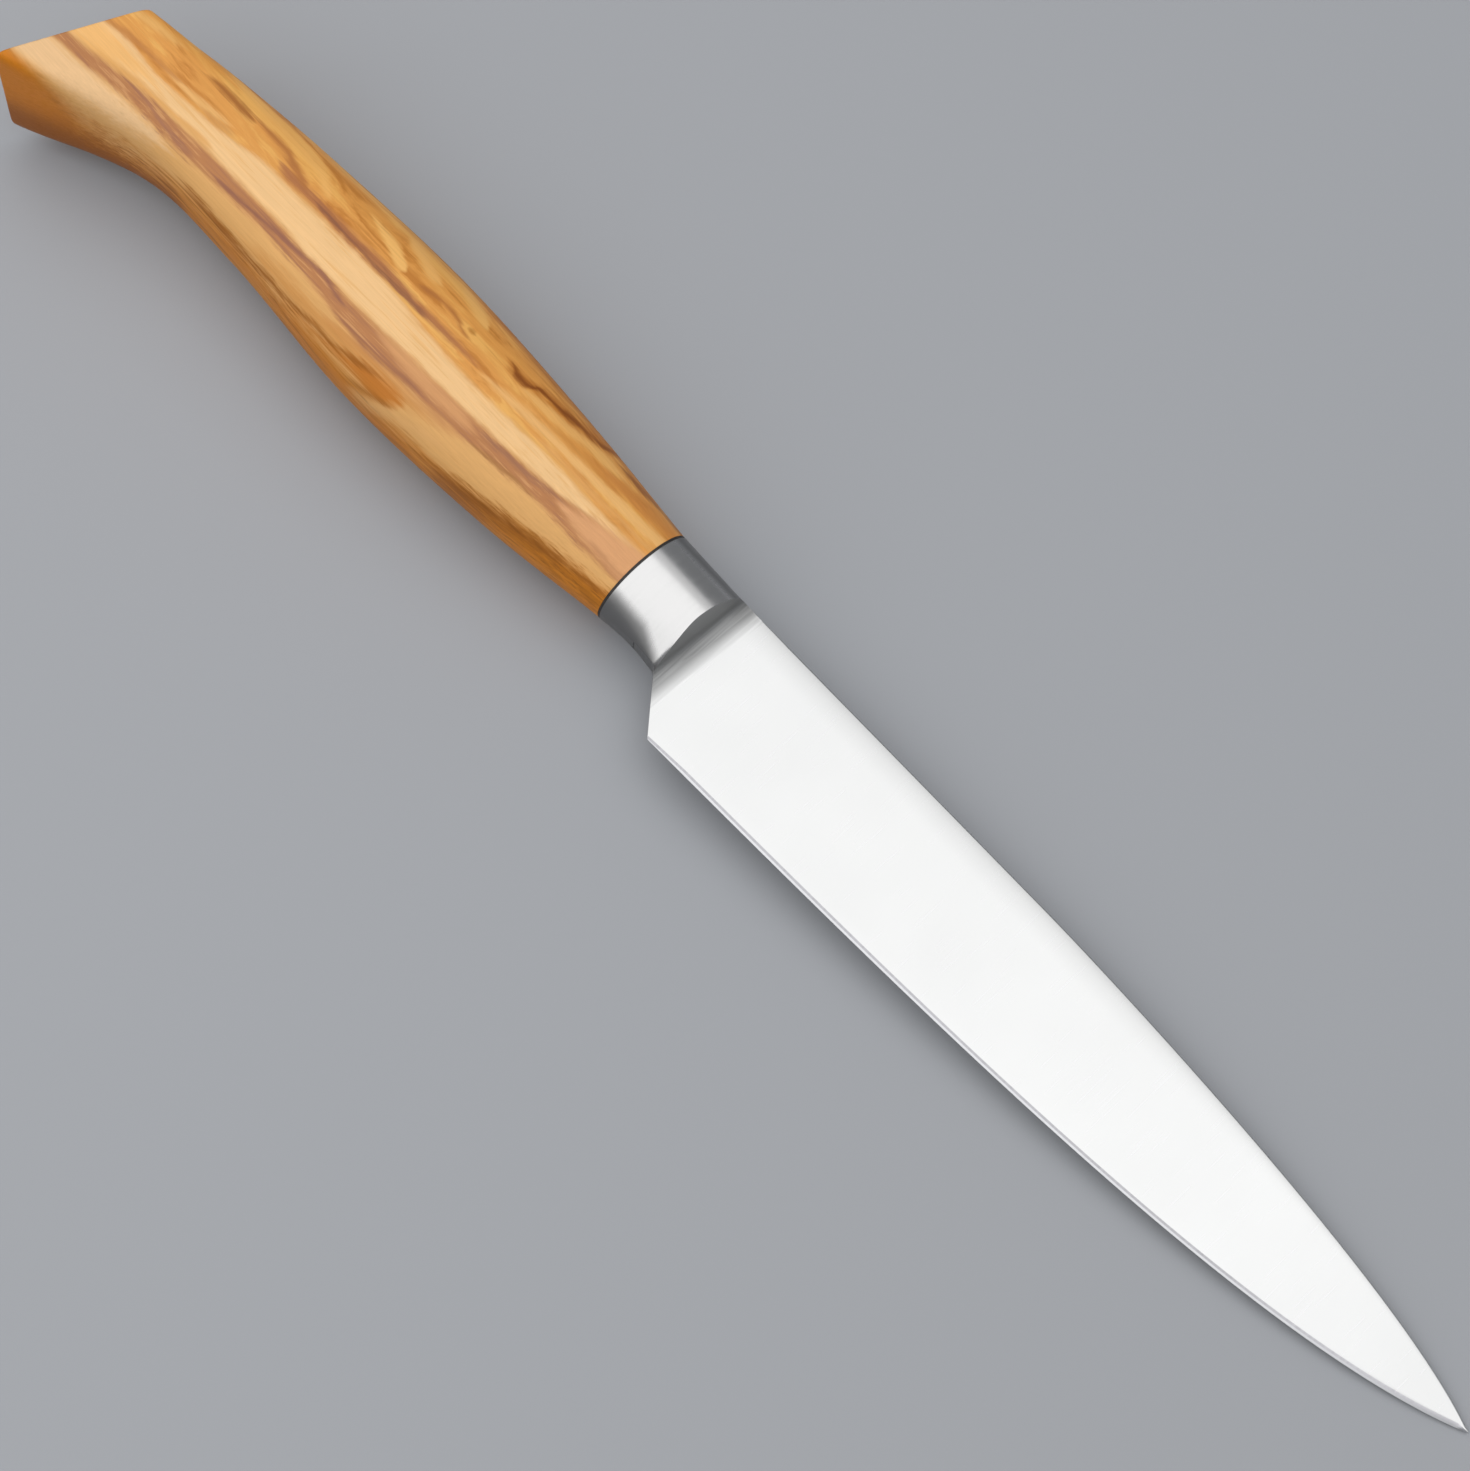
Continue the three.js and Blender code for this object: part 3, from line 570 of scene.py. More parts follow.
# Adhesive
# Two-part epoxy poured into the handle's blind bore before the tang is pushed in.
# It sets round the tang's notches, so nothing else holds the handle.
AIR_CLOUD = 2.0
epoxy, add, axes = new_material("epoxy adhesive, cured")
# Amber and glossy, a little cloudy where air was stirred in.
cloud = add("TexNoise", {"Vector": axes, "Scale": 1 / AIR_CLOUD, "Detail": 4.0})
amber = add("ValToRGB", [cloud])
amber.color_ramp.elements[0].color = linear("#B89A5C")
amber.color_ramp.elements[1].color = linear("#D8C596")
add("OutputMaterial", [add("BsdfPrincipled", {"Base Color": amber, "Roughness": 0.3, "IOR": 1.55})])
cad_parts["epoxy_bedding"].material_slots[0].material = epoxy

# Handle
# One block of olive wood, shaped to an oval at the bolster, a belly for the palm and a flared,
# slanted butt. It is bored from the front for the tang, sanded fine and oiled.
HANDLE_FRONT = -0.44
RIM_RADIUS = 0.3  # the butt's edge is broken by sanding
CORNER_RUN = 8.0  # over this length before the butt the section grows squarer still
CORNER_SQUARENESS = 7.0
RINGS = 150
RING_CROWDING = 1.8  # rings crowd towards the butt by this power
POINTS_AROUND = 240
HANDLE_CRISP = 40
BORE_DEPTH = 70.7
BORE_HALF_HEIGHT = 5.8
BORE_HALF_WIDTH = 3.05
BORE_SQUARENESS = 6.0
BORE_RINGS = 3  # at the bore's end a point and the wall's end, then the mouth in the front face
# Each station: distance behind the handle's front, height above the axis, height below it,
# half thickness, squareness of the section (2 is an oval), lean of the section in degrees.
STATIONS = {
    "Ring": (0, 7.35, 7.35, 6.35, 2.0, 0),
    "Grip": (19.5, 8.95, 9.75, 8.0, 2.2, 0),
    "Belly": (43.5, 9.88, 10.85, 8.95, 2.4, 0),
    "Waist": (67.5, 8.7, 9.3, 8.3, 2.6, 0),
    "Flare": (83.5, 6.8, 9.6, 8.5, 3.55, 12.4),
    "Butt": (97.95, 3.4, 16.0, 9.22, 7.5, 21.8),
}
BUTT_BACK, BUTT_LEAN = STATIONS["Butt"][0], math.radians(STATIONS["Butt"][-1])

# Figure of the wood, in millimetres on the knife's axes. The year rings are sheets that run along the
# handle and lean a little through its thickness. A streak has a colour, a strength, the softness of its
# edge, and places along the handle with its height and half width there. A half width below zero
# fades the streak out.
RING_LEAN = 0.12
RING_LEVEL = 7.5
RING_BEND = 2.0  # on the side that lies on the table they also curve, by this much there
LYING_SIDE = -9.0
RING_WAVES = ((16, 3.5, 0.8), (3.5, 0.7, 0.5), (1.4, 0.4, 0.3))  # length, height and depth of each
CALM, CALM_START, CALM_END = 0.2, -13.0, -9.5  # share of the waves left at the lower of two heights
FIBRE_DEPTH = 0.015
FIBRE_TONES = (0.94, 1.04)
SHEEN = (0.5, 0.4)  # roughness at the lowest fibres and at the highest
CUT_FACE = 0.1  # closer than this to the butt's plane the surface is its cut face
YEAR_RING = 0.909  # width of one ring there
YEAR_RING_TONES = (-0.34, -0.02)
FRAY = 0.7  # the strands push a streak's edge out and in by this share of its softness
# Length and width of one strand, of one swirl in the figure and of one fibre.
BRUSH = (11, 0.4)
FIGURE = (15, 2.2)
FIBRE = (8, 0.25)
GRAIN_START, GRAIN_END = -110.0, 2.0
GRAIN_LOW, GRAIN_HIGH = -24.0, 16.0
WIDTH_LOW, WIDTH_HIGH = -2.0, 16.0
STREAKS = {
    "honey side": ("#DB984A", 1.0, 1.0, [
        (-104, 12, 14.8), (-97, 12, 13.9), (-90, 12, 14.3), (-84, 12, 13.9), (-76, 12, 12.9),
        (-70, 12, 12.1), (-57, 12, 11.6), (-50, 12, 11.6), (-40, 12, 12.6), (-30, 12, 12.7),
        (-15, 12, 12.1), (0, 12, 12)]),
    # Partly the wood's own orange, partly painted warm bounce light: the underside is drawn more
    # saturated.
    "orange underside": ("#C67A1E", 1.0, 1.6, [
        (-106, -22, 8), (-100, -22, 8.5), (-95, -22, 9.3), (-90, -22, 10.6), (-85, -22, 11.8),
        (-80, -22, 12.5), (-70, -22, 12.8), (-60, -22, 12), (-50, -22, 11.6), (-40, -22, 11.2),
        (-30, -22, 11.4), (-20, -22, 12.6), (-10, -22, 14.4), (0, -22, 15.9)]),
    "cream band": ("#ECBF86", 1.0, 0.9, [
        (-104, -5, 2.2), (-99, -4.2, 2), (-95, -3.5, 1.8), (-90, -3.4, 1.15), (-85, -3.1, 1.1),
        (-80, -2.7, 1.15), (-75, -2.4, 1.6), (-70, -2.1, 1.95), (-65, -2, 1.9), (-55, -2, 2.4),
        (-50, -2, 2.4), (-45, -2.2, 2.1), (-40, -2.4, 1.8), (-30, -2.2, 1.5), (-20, -1.75, 1.4),
        (-15, -1.4, 1.3), (-10, -1.1, 0.8), (0, -0.2, -0.3)]),
    "pale butt": ("#E9BF8D", 0.9, 1.4, [
        (-104, -11.2, 2.2), (-97, -10.3, 1.9), (-90, -9, 1.2), (-84, -8, 0.5), (-78, -7.4, -0.8)]),
    "tan fringe": ("#DEA25A", 0.75, 0.9, [
        (-102, -6.4, 0.3), (-95, -5.4, 0.45), (-90, -4.8, 0.45), (-85, -4.4, 0.3), (-79, -3.7, 0.4),
        (-76, -3.6, -0.5)]),
    "mauve streak": ("#B17548", 0.92, 1.0, [
        (-102, -7.8, 0.9), (-98, -7.35, 0.95), (-95, -7, 1), (-90, -6.35, 1), (-85, -6, 1.05),
        (-80, -5.75, 1.15), (-75, -5.35, 1.05), (-65, -5.15, 0.95), (-60, -5.35, 0.85), (-55, -5.45, 0.9),
        (-50, -5.9, 1.1), (-46, -6.1, 1.5), (-43, -6.2, 1.7), (-40, -5.9, 1.5), (-30, -5.25, 1.4),
        (-20, -4.4, 1.1), (-15, -3.95, 1.15), (-10, -3.4, 1.6), (0, -2.5, 2.1)]),
}
VEINS = {
    "golden butt": ("#EFB468", 0.75, 1.6, [
        (-106, -5.4, 1.6), (-98, -4.2, 1.6), (-92, -3.6, 0.8), (-86, -3.2, -0.8)]),
    "tan belly": ("#D49A64", 0.85, 1.2, [
        (-46, -5, -0.6), (-41, -5, 0.5), (-35, -5, 0.8), (-29, -4.7, 0.6), (-24, -4.8, -0.6)]),
    "tan ring": ("#DBA16E", 0.9, 1.4, [
        (-15, -3.2, -0.8), (-10, -3, 0.7), (-5, -2.4, 1.7), (0, -2, 2.1)]),
    "mauve line, butt": ("#A16C50", 0.75, 0.6, [
        (-94, -5.6, -0.4), (-88, -5.6, 0.15), (-84, -5.9, 0.25), (-81, -6.2, 0.35), (-76, -6, -0.4)]),
    "mauve line, rear": ("#8F5C48", 0.85, 0.6, [
        (-76, -5.9, -0.4), (-72, -5.7, 0.2), (-66, -5.3, 0.25), (-62, -5, 0.25), (-55, -4.8, 0.25),
        (-51, -5.5, 0.2), (-48, -5.9, -0.4)]),
    "mauve line, middle": ("#966147", 0.85, 0.8, [
        (-52, -6.8, -0.4), (-47, -7, 0.2), (-43.5, -7.2, 0.45), (-40, -7, 0.3), (-35, -6.4, 0.15),
        (-31, -6, -0.4)]),
    "mauve line, front": ("#9A684C", 0.8, 0.8, [
        (-28, -4.2, -0.4), (-23, -4.1, 0.3), (-18, -3.7, 0.3), (-15, -3.2, 0.3), (-10, -2.4, -0.4)]),
    "mauve lower line": ("#A46F3C", 0.85, 0.5, [
        (-28, -6.3, -0.3), (-22, -5.6, 0.25), (-18, -5.2, 0.2), (-13, -5, -0.3)]),
    "ring line": ("#B98256", 0.7, 0.6, [
        (-9, -3.6, -0.3), (-4, -3.7, 0.25), (0, -3.6, 0.15)]),
    "brown streak": ("#A96A40", 0.9, 1.0, [
        (-71, 1.6, -0.6), (-67, 1.2, 0.7), (-60, 1.3, 0.65), (-50, 1.3, 0.7), (-44, 1.1, 0.5),
        (-36, 1.2, 0.35), (-30, 1.4, -0.5)]),
    "brown line": ("#87543A", 0.85, 0.6, [
        (-64, 1.2, -0.3), (-60, 1.2, 0.3), (-57, 1.1, 0.3), (-50, 1, 0.25), (-44, 0.9, 0.25),
        (-39, 0.95, -0.3)]),
    "pale rim": ("#E3AC62", 0.85, 1.0, [
        (-99, 1.4, 0.5), (-94, 2.4, 0.6), (-88, 3.4, -0.6)]),
    "pale stripe, butt": ("#E8B26C", 0.85, 0.8, [
        (-92, -1, -0.5), (-86, -0.7, 0.4), (-81, -0.3, 0.5), (-76, 0.5, -0.5)]),
    "hook, rear": ("#A1632A", 0.9, 0.9, [
        (-87, 2.4, -0.5), (-82, 2.9, 0.5), (-79, 2.9, 0.55), (-75, 2.6, -0.5)]),
    "hook, front": ("#B06F37", 0.9, 0.9, [
        (-79, 3.3, -0.4), (-75, 3.3, 0.3), (-71, 3.3, 0.4), (-68.5, 2.7, 0.5), (-66, 1.9, 0.5),
        (-64, 1.4, -0.4)]),
    "pale stripe, rear": ("#EBB163", 0.85, 1.3, [
        (-86, 4.6, -0.8), (-79, 5, 0.6), (-72, 5, 0.7), (-66, 4.8, 0.7), (-64, 4, 0.7), (-61, 2.6, -0.6)]),
    "pale leaf, rear": ("#F0B768", 1.0, 0.8, [
        (-58, 5.7, -0.4), (-54, 5, 0.5), (-51, 4.2, 0.75), (-49.3, 3.6, 0.8), (-47.4, 3, -0.4)]),
    "pale leaf, middle": ("#E8AE62", 1.0, 0.9, [
        (-53, 7.6, -0.4), (-49, 6.6, 0.7), (-46, 5.8, 0.7), (-43, 5.2, -0.4)]),
    "pale leaf, front": ("#E9B062", 1.0, 0.9, [
        (-43, 7.8, -0.4), (-39.5, 7, 0.8), (-37, 6.3, 0.7), (-35, 5.4, -0.4)]),
    "arc over the leaf": ("#AE6C33", 0.85, 0.7, [
        (-46, 3, -0.3), (-43.5, 3.6, 0.4), (-41, 3.9, 0.2), (-39, 3.7, 0.25), (-37, 3.1, 0.2),
        (-34.5, 2.8, -0.3)]),
    "knot": ("#A8681F", 0.75, 0.8, [
        (-37.2, 4.1, -0.5), (-36.3, 4, 0.35), (-35.4, 3.9, -0.5)]),
    "pale stripe, vein": ("#E8B066", 0.85, 0.9, [
        (-28, 3.2, -0.5), (-24, 3.7, 0.6), (-20, 4.2, 0.7), (-16, 4.9, 0.7), (-12, 5.1, 0.6),
        (-7, 5.3, -0.5)]),
    "vein halo": ("#B46E2A", 0.8, 1.1, [
        (-32, 5.2, -0.5), (-28, 4.4, 0.7), (-25, 5.4, 0.7), (-19.5, 5.9, 0.8), (-15, 6.6, 0.8),
        (-12, 7.6, -0.5)]),
    "dark vein": ("#83440F", 0.9, 0.7, [
        (-31, 5.3, -0.3), (-29.4, 4.7, 0.15), (-28, 4.2, 0.4), (-26.4, 4.3, 0.4), (-25.2, 5.3, 0.4),
        (-22.5, 5.4, 0.2), (-21, 5.6, 0.4), (-19.5, 5.8, 0.45), (-18, 6, 0.2), (-15.4, 6.2, 0.35),
        (-14, 7.2, 0.55), (-12.5, 8.4, -0.3)]),
    "pale stripe, front": ("#EBB671", 0.85, 0.9, [
        (-34, 0.4, -0.5), (-27, 1.3, 0.5), (-20, 1.7, 0.6), (-10, 2.2, 0.7), (0, 2.7, 0.8)]),
    "honey stripe": ("#DBA05B", 0.75, 0.8, [
        (-22, 0.3, -0.3), (-17, 0.6, 0.4), (-13, 0.6, 0.4), (-8, 0.8, 0.3), (0, 1.2, 0.3)]),
    "honey line": ("#C8843C", 0.75, 0.8, [
        (-25, 2.5, -0.4), (-18, 3, 0.35), (-12, 3.2, 0.4), (-6, 3.4, -0.4)]),
    "honey front": ("#CA8440", 0.85, 1.2, [
        (-16, 3.6, -0.5), (-10, 4.2, 0.7), (-5, 4.6, 0.9), (0, 4.9, 0.9)]),
    "front vein": ("#8F5224", 0.85, 0.7, [
        (-13, 6.2, -0.3), (-8.4, 6.3, 0.5), (-6, 6.4, 0.3), (0, 6.1, 0.2)]),
    "rear line": ("#BF7E40", 0.8, 0.8, [
        (-104, -2.6, 0.2), (-98, -1.6, 0.35), (-94, -1.1, 0.35), (-89, -0.7, 0.3), (-84, -0.1, -0.4)]),
    "tan patch": ("#C98F50", 0.7, 0.8, [
        (-83, -1, -0.4), (-79, -0.7, 0.4), (-75, -0.4, -0.4)]),
    "mauve fringe": ("#C88E54", 0.75, 1.0, [
        (-53, -7.8, -0.5), (-47, -8.2, 0.5), (-42, -8, 0.5), (-36, -7.7, 0.6), (-30, -7, 0.55),
        (-25, -6.5, -0.5)]),
    "amber belly": ("#CC8C46", 0.7, 1.8, [
        (-70, -8.4, -0.9), (-60, -8.7, 0.6), (-50, -8.8, 0.9), (-42, -8.6, 1), (-36, -8.2, 0.8),
        (-29, -7.6, -0.9)]),
    "orange hook": ("#C0721F", 0.9, 1.3, [
        (-62, -10, -0.7), (-52, -10, 0.1), (-46, -9.8, 0.35), (-42, -9.5, 0.85), (-39, -9.4, 1.1),
        (-37, -9.1, 0.9), (-34, -8.7, -0.7)]),
    "pale belly": ("#DCA768", 0.85, 0.8, [
        (-45, -11.6, -0.4), (-40, -11.2, 0.3), (-36, -10.4, 0.4), (-31, -9.4, 0.4), (-26, -8.5, -0.4)]),
    "hook edge": ("#A0601A", 0.75, 0.7, [
        (-46, -11, -0.3), (-42, -10.8, 0.2), (-38.5, -10.3, 0.25), (-35, -9.4, -0.3)]),
    "underside line": ("#99580E", 0.85, 0.7, [
        (-80, -8.8, -0.3), (-74, -9, 0.2), (-62, -9.5, 0.25), (-55, -9.6, 0.2), (-48, -9.6, 0.2),
        (-45, -9.3, 0.25), (-41, -8.7, 0.2), (-37, -8.3, -0.3)]),
    "underside edge": ("#8C5010", 0.85, 1.4, [
        (-32, -11.2, -0.6), (-25, -10.7, 0.4), (-18, -9.6, 0.6), (-10, -8.2, 0.6), (-4, -7.2, 0.3),
        (0, -6.6, 0.2)]),
    # Partly the wood's own orange, partly painted warm bounce light on the beak's lower face.
    "orange beak, painted warm bounce": ("#CB780C", 0.9, 1.4, [
        (-108, -16.5, 2.6), (-101, -16, 1.9), (-95, -14.6, 1.2), (-90, -13, -0.7)]),
    # Painted shade: the beak's lower face is drawn darker towards its edge, where the light falls off.
    "beak edge, painted shade": ("#96540A", 1.0, 1.1, [
        (-106, -19.4, 1.8), (-101, -17.5, 1.7), (-97, -15.9, 1.7), (-94, -14.6, 1.5), (-90, -12.9, 1.2),
        (-85, -11.5, 0.9), (-80, -10.7, 0.7), (-75, -10.4, -0.6)]),
    # Partly darker wood, partly painted shade on the spine-side shoulder.
    "crown, darker wood and painted shade": ("#B06812", 0.85, 2.0, [
        (-97, 6.2, 0.3), (-85, 8.2, 1), (-75, 9.4, 1.4), (-60, 10.2, 2), (-45, 10.6, 2.3),
        (-32, 10.2, 2.3), (-24, 9.2, 2.1), (-12, 8.8, 1.9), (0, 8.6, 1.6)]),
}

olive_wood, add, axes = new_material("olive wood, oiled")
# Cream and honey bands with mauve heartwood streaks, dark veins and a soft satin sheen from the oil.
# Painted shade darkens the crown and the beak's lower edge, and painted warm light strengthens the
# underside's orange.
x, y, z = add("SeparateXYZ", [axes]).outputs
leant = add("Math", [z, RING_LEAN, -RING_LEAN * RING_LEVEL], operation="MULTIPLY_ADD")
level = add("Math", [y, leant], operation="ADD")
along = add("MapRange", [x, GRAIN_START, GRAIN_END])


def grain_noise(place, length, height, **settings):
    """Noise drawn out along the handle, from the length and the height of one patch in millimetres."""
    patch = add("Mapping", {"Vector": place, "Scale": (1 / length, 1 / height, 1 / height)})
    return add("TexNoise", {"Vector": patch, "Scale": 1.0, **settings})


# Sheets of the year rings are never flat: they drift over centimetres and fray over millimetres.
# The butt's lower face cuts them at a flat angle, so there they are drawn calmer to stay as crisp.
calm = add("MapRange", [y, CALM_START, CALM_END, CALM, 1.0])
below = add("MapRange", [z, 0.0, LYING_SIDE, 0.0, RING_BEND ** 0.5])
bend = add("Math", [below, below], operation="MULTIPLY")
bend = add("Math", [bend, calm], operation="MULTIPLY")
level = add("Math", [level, bend], operation="SUBTRACT")
for length, height, depth in RING_WAVES:
    wave = grain_noise(axes, length, height, Detail=3.0)
    wave = add("Math", [wave, depth, -depth / 2], operation="MULTIPLY_ADD")
    level = add("Math", [wave, calm, level], operation="MULTIPLY_ADD")
brush = grain_noise(axes, *BRUSH, Detail=4.0, Roughness=0.6)
ragged = add("Math", [brush, 0.5], operation="SUBTRACT")
ragged = add("Math", [ragged, calm, 0.5], operation="MULTIPLY_ADD")


def follow(places, low, high):
    """A curve along the handle through places, each a distance along and a value from low to high."""
    path = add("FloatCurve", {"Value": along})
    line = path.mapping.curves[0]
    path.mapping.extend = "HORIZONTAL"
    while len(line.points) < len(places):
        line.points.new(0.5, 0.5)
    for point, (distance, value) in zip(line.points, places):
        share = (distance - GRAIN_START) / (GRAIN_END - GRAIN_START)
        point.location = (share, (value - low) / (high - low))
        point.handle_type = "AUTO_CLAMPED"
    path.mapping.update()
    return add("Math", [path, high - low, low], operation="MULTIPLY_ADD")


def lay_streak(under, colour, strength, softness, places):
    """Lay one streak of colour over the wood under it; gives the new colour and the streak's mask."""
    centre = follow([(distance, height) for distance, height, _ in places], GRAIN_LOW, GRAIN_HIGH)
    widths = [(distance, width - FRAY * softness) for distance, _, width in places]
    width = follow(widths, WIDTH_LOW, WIDTH_HIGH)
    away = add("Math", [level, centre], operation="SUBTRACT")
    away = add("Math", [away], operation="ABSOLUTE")
    inside = add("Math", [width, away], operation="SUBTRACT")
    inside = add("Math", [ragged, 2 * FRAY * softness, inside], operation="MULTIPLY_ADD")
    mask = add("MapRange", [
        inside, -softness / 2, softness / 2, 0.0, strength], interpolation_type="SMOOTHSTEP")
    over = add("Mix", {0: mask, 6: under, 7: linear(colour)}, data_type="RGBA")
    return over.outputs[2], mask


def lay_grain(under, noise, start, full, streak, colour, strength):
    """Lay the part of a noise from its start to its full value over the wood, within one streak."""
    part = add("MapRange", [noise, start, full, 0.0, strength], interpolation_type="SMOOTHSTEP")
    part = add("Math", [part, masks[streak]], operation="MULTIPLY")
    return add("Mix", {0: part, 6: under, 7: linear(colour)}, data_type="RGBA").outputs[2]


wood = linear("#DBA665")
masks = {}
for name, streak in STREAKS.items():
    wood, masks[name] = lay_streak(wood, *streak)

# Flowing figure a millimetre or two across swirls in the honey wood; finer strands run in the streaks.
flow = add("CombineXYZ", [x, level, z])
figure = grain_noise(flow, *FIGURE, Detail=4.0, Roughness=0.55, Distortion=0.9)
for layer in (
    (figure, 0.5, 0.64, "honey side", "#ECB461", 0.7),
    (figure, 0.48, 0.34, "honey side", "#BA7329", 0.75),
    (brush, 0.52, 0.68, "mauve streak", "#A06B4E", 0.65),
    (brush, 0.48, 0.34, "mauve streak", "#D7A16A", 0.6),
    (brush, 0.5, 0.68, "cream band", "#E2AB66", 0.6),
    (figure, 0.52, 0.66, "orange underside", "#A0600F", 0.6),
    (figure, 0.48, 0.34, "orange underside", "#D69134", 0.5),
):
    wood = lay_grain(wood, *layer)
for streak in VEINS.values():
    wood, _ = lay_streak(wood, *streak)
wood = lay_grain(wood, ragged, 0.53, 0.66, "orange underside", "#84500F", 0.5)

# Fibres: real ones are under a tenth of a millimetre, drawn at a quarter so that they show.
fibre = grain_noise(axes, *FIBRE, Detail=3.0, Roughness=0.6)
shade = add("MapRange", [fibre, NOISE_LOW, NOISE_HIGH, *FIBRE_TONES])
wood = add("VectorMath", {0: wood, 3: shade}, operation="SCALE")
# The butt is cut across the grain, so the year rings show there and the oil has soaked in darker.
cut = add("Math", [y, -math.tan(BUTT_LEAN), BUTT_BACK - HANDLE_FRONT], operation="MULTIPLY_ADD")
cut = add("Math", [cut, x], operation="ADD")
cut = add("MapRange", [cut, RIM_RADIUS, CUT_FACE])
rings = add("TexNoise", {"W": level, "Scale": 1 / YEAR_RING, "Detail": 2.0}, noise_dimensions="1D")
rings = add("MapRange", [rings, NOISE_LOW, NOISE_HIGH, *YEAR_RING_TONES])
shade = add("Math", [cut, rings, 1.0], operation="MULTIPLY_ADD")
wood = add("VectorMath", {0: wood, 3: shade}, operation="SCALE")
sheen = add("MapRange", [fibre, NOISE_LOW, NOISE_HIGH, *SHEEN])
relief = add("Bump", {"Height": fibre, "Strength": 0.6, "Distance": FIBRE_DEPTH * MM})
shader = add("BsdfPrincipled", {
    "Base Color": wood, "Roughness": sheen, "Normal": relief, "IOR": 1.47,
    "Specular IOR Level": 0.25,  # most of the oil has soaked in
})
add("OutputMaterial", [shader])


def handle_tree():
    """Nodes that loft the handle: bore, front face, sections through the stations, rim and butt."""
    tree = bpy.data.node_groups.new("olive wood handle", "GeometryNodeTree")
    kinds = {"Rings": "Int", "Points Around": "Int", "Rim Radius": "Float", "Corners": "Vector",
             "Bore": "Vector", "Bore Squareness": "Float"}
    kinds.update({f"{name} {part}": "Vector" for name in STATIONS for part in ("Heights", "Section")})
    for name, kind in kinds.items():
        tree.interface.new_socket(name, in_out="INPUT", socket_type="NodeSocket" + kind)
    tree.interface.new_socket("Geometry", in_out="OUTPUT", socket_type="NodeSocketGeometry")
    add = node_adder(tree)
    sizes = add("NodeGroupInput").outputs

    # A flat grid: one way it counts rings from the bore's end to the butt, the other way it goes round.
    # The first rings make the bore, and one more closes the butt.
    rings = add("Math", [sizes["Rings"], BORE_RINGS + 1.0], operation="ADD")
    around = add("Math", [sizes["Points Around"], 1.0], operation="ADD")
    grid = add("GeometryNodeMeshGrid", [1.0, 1.0, rings, around])
    across, up, _ = add("SeparateXYZ", [add("GeometryNodeInputPosition")]).outputs
    last = add("Math", [sizes["Rings"], float(BORE_RINGS)], operation="ADD")
    number = add("Math", [across, 0.5], operation="ADD")
    number = add("Math", [number, last], operation="MULTIPLY")
    number = add("Math", [number], operation="ROUND")
    turn = add("Math", [up, 0.5], operation="ADD")
    turn = add("Math", [turn, 2 * math.pi], operation="MULTIPLY")

    # Place between stations: rings crowd towards the butt, where the rim is rounded.
    share = add("Math", [number, float(BORE_RINGS)], operation="SUBTRACT")
    steps = add("Math", [sizes["Rings"], 1.0], operation="SUBTRACT")
    share = add("Math", [share, steps], operation="DIVIDE", use_clamp=True)
    left = add("Math", [1.0, share], operation="SUBTRACT")
    left = add("Math", [left, RING_CROWDING], operation="POWER")
    share = add("Math", [1.0, left], operation="SUBTRACT")
    spans = len(STATIONS) - 1
    station = add("Math", [share, float(spans)], operation="MULTIPLY")
    first = add("Math", [station], operation="FLOOR")
    first = add("Math", [first, spans - 1.0], operation="MINIMUM")
    within = add("Math", [station, first], operation="SUBTRACT")

    # Weights of the four stations round a place on a smooth curve through them all.
    weights = []
    for a, b, c, d in ((-0.5, 1, -0.5, 0), (1.5, -2.5, 0, 1), (-1.5, 2, 0.5, 0), (0.5, -0.5, 0, 0)):
        weight = add("Math", [within, a, b], operation="MULTIPLY_ADD")
        for term in (c, d):
            weight = add("Math", [within, weight, term], operation="MULTIPLY_ADD")
        weights.append(weight)

    def carry(part):
        """Heights or section at each ring, on a smooth curve through the stations."""
        stops = [sizes[f"{name} {part}"] for name in STATIONS]
        ends = []
        for end, inner in ((stops[0], stops[1]), (stops[-1], stops[-2])):
            step = add("VectorMath", [end, inner], operation="SUBTRACT")
            ends.append(add("VectorMath", [end, step], operation="ADD").outputs[0])
        stops = [ends[0], *stops, ends[1]]
        parts = []
        for offset, weight in enumerate(weights):
            index = add("Math", [first, float(offset)], operation="ADD")
            pick = add("GeometryNodeIndexSwitch", data_type="VECTOR")
            while len(pick.index_switch_items) < len(stops):
                pick.index_switch_items.new()
            for i, stop in enumerate([index.outputs[0], *stops]):
                tree.links.new(stop, pick.inputs[i])
            parts.append(add("VectorMath", {0: pick, 3: weight}, operation="SCALE"))
        total = parts[0]
        for scaled in parts[1:]:
            total = add("VectorMath", [total, scaled], operation="ADD")
        return total

    # The first rings are the bore: its end, its wall and its mouth in the front face.
    depth, bore_height, bore_width = add("SeparateXYZ", [sizes["Bore"]]).outputs
    in_bore, at_end = [
        add("FunctionNodeCompare", [number, count - 0.5], data_type="FLOAT", operation="LESS_THAN")
        for count in (BORE_RINGS, BORE_RINGS - 1)]
    depth = add("Math", [depth, at_end], operation="MULTIPLY")
    bore_heights = add("CombineXYZ", [depth, bore_height, bore_height])
    bore_section = add("CombineXYZ", [bore_width, sizes["Bore Squareness"], 0.0])
    heights = add("GeometryNodeSwitch", {
        "Switch": in_bore, "False": carry("Heights"), "True": bore_heights}, input_type="VECTOR")
    section = add("GeometryNodeSwitch", {
        "Switch": in_bore, "False": carry("Section"), "True": bore_section}, input_type="VECTOR")
    back, above, below = add("SeparateXYZ", [heights]).outputs
    thick, square, lean = add("SeparateXYZ", [section]).outputs
    butt_back = add("SeparateXYZ", [sizes["Butt Heights"]])
    remaining = add("Math", [butt_back, back], operation="SUBTRACT")

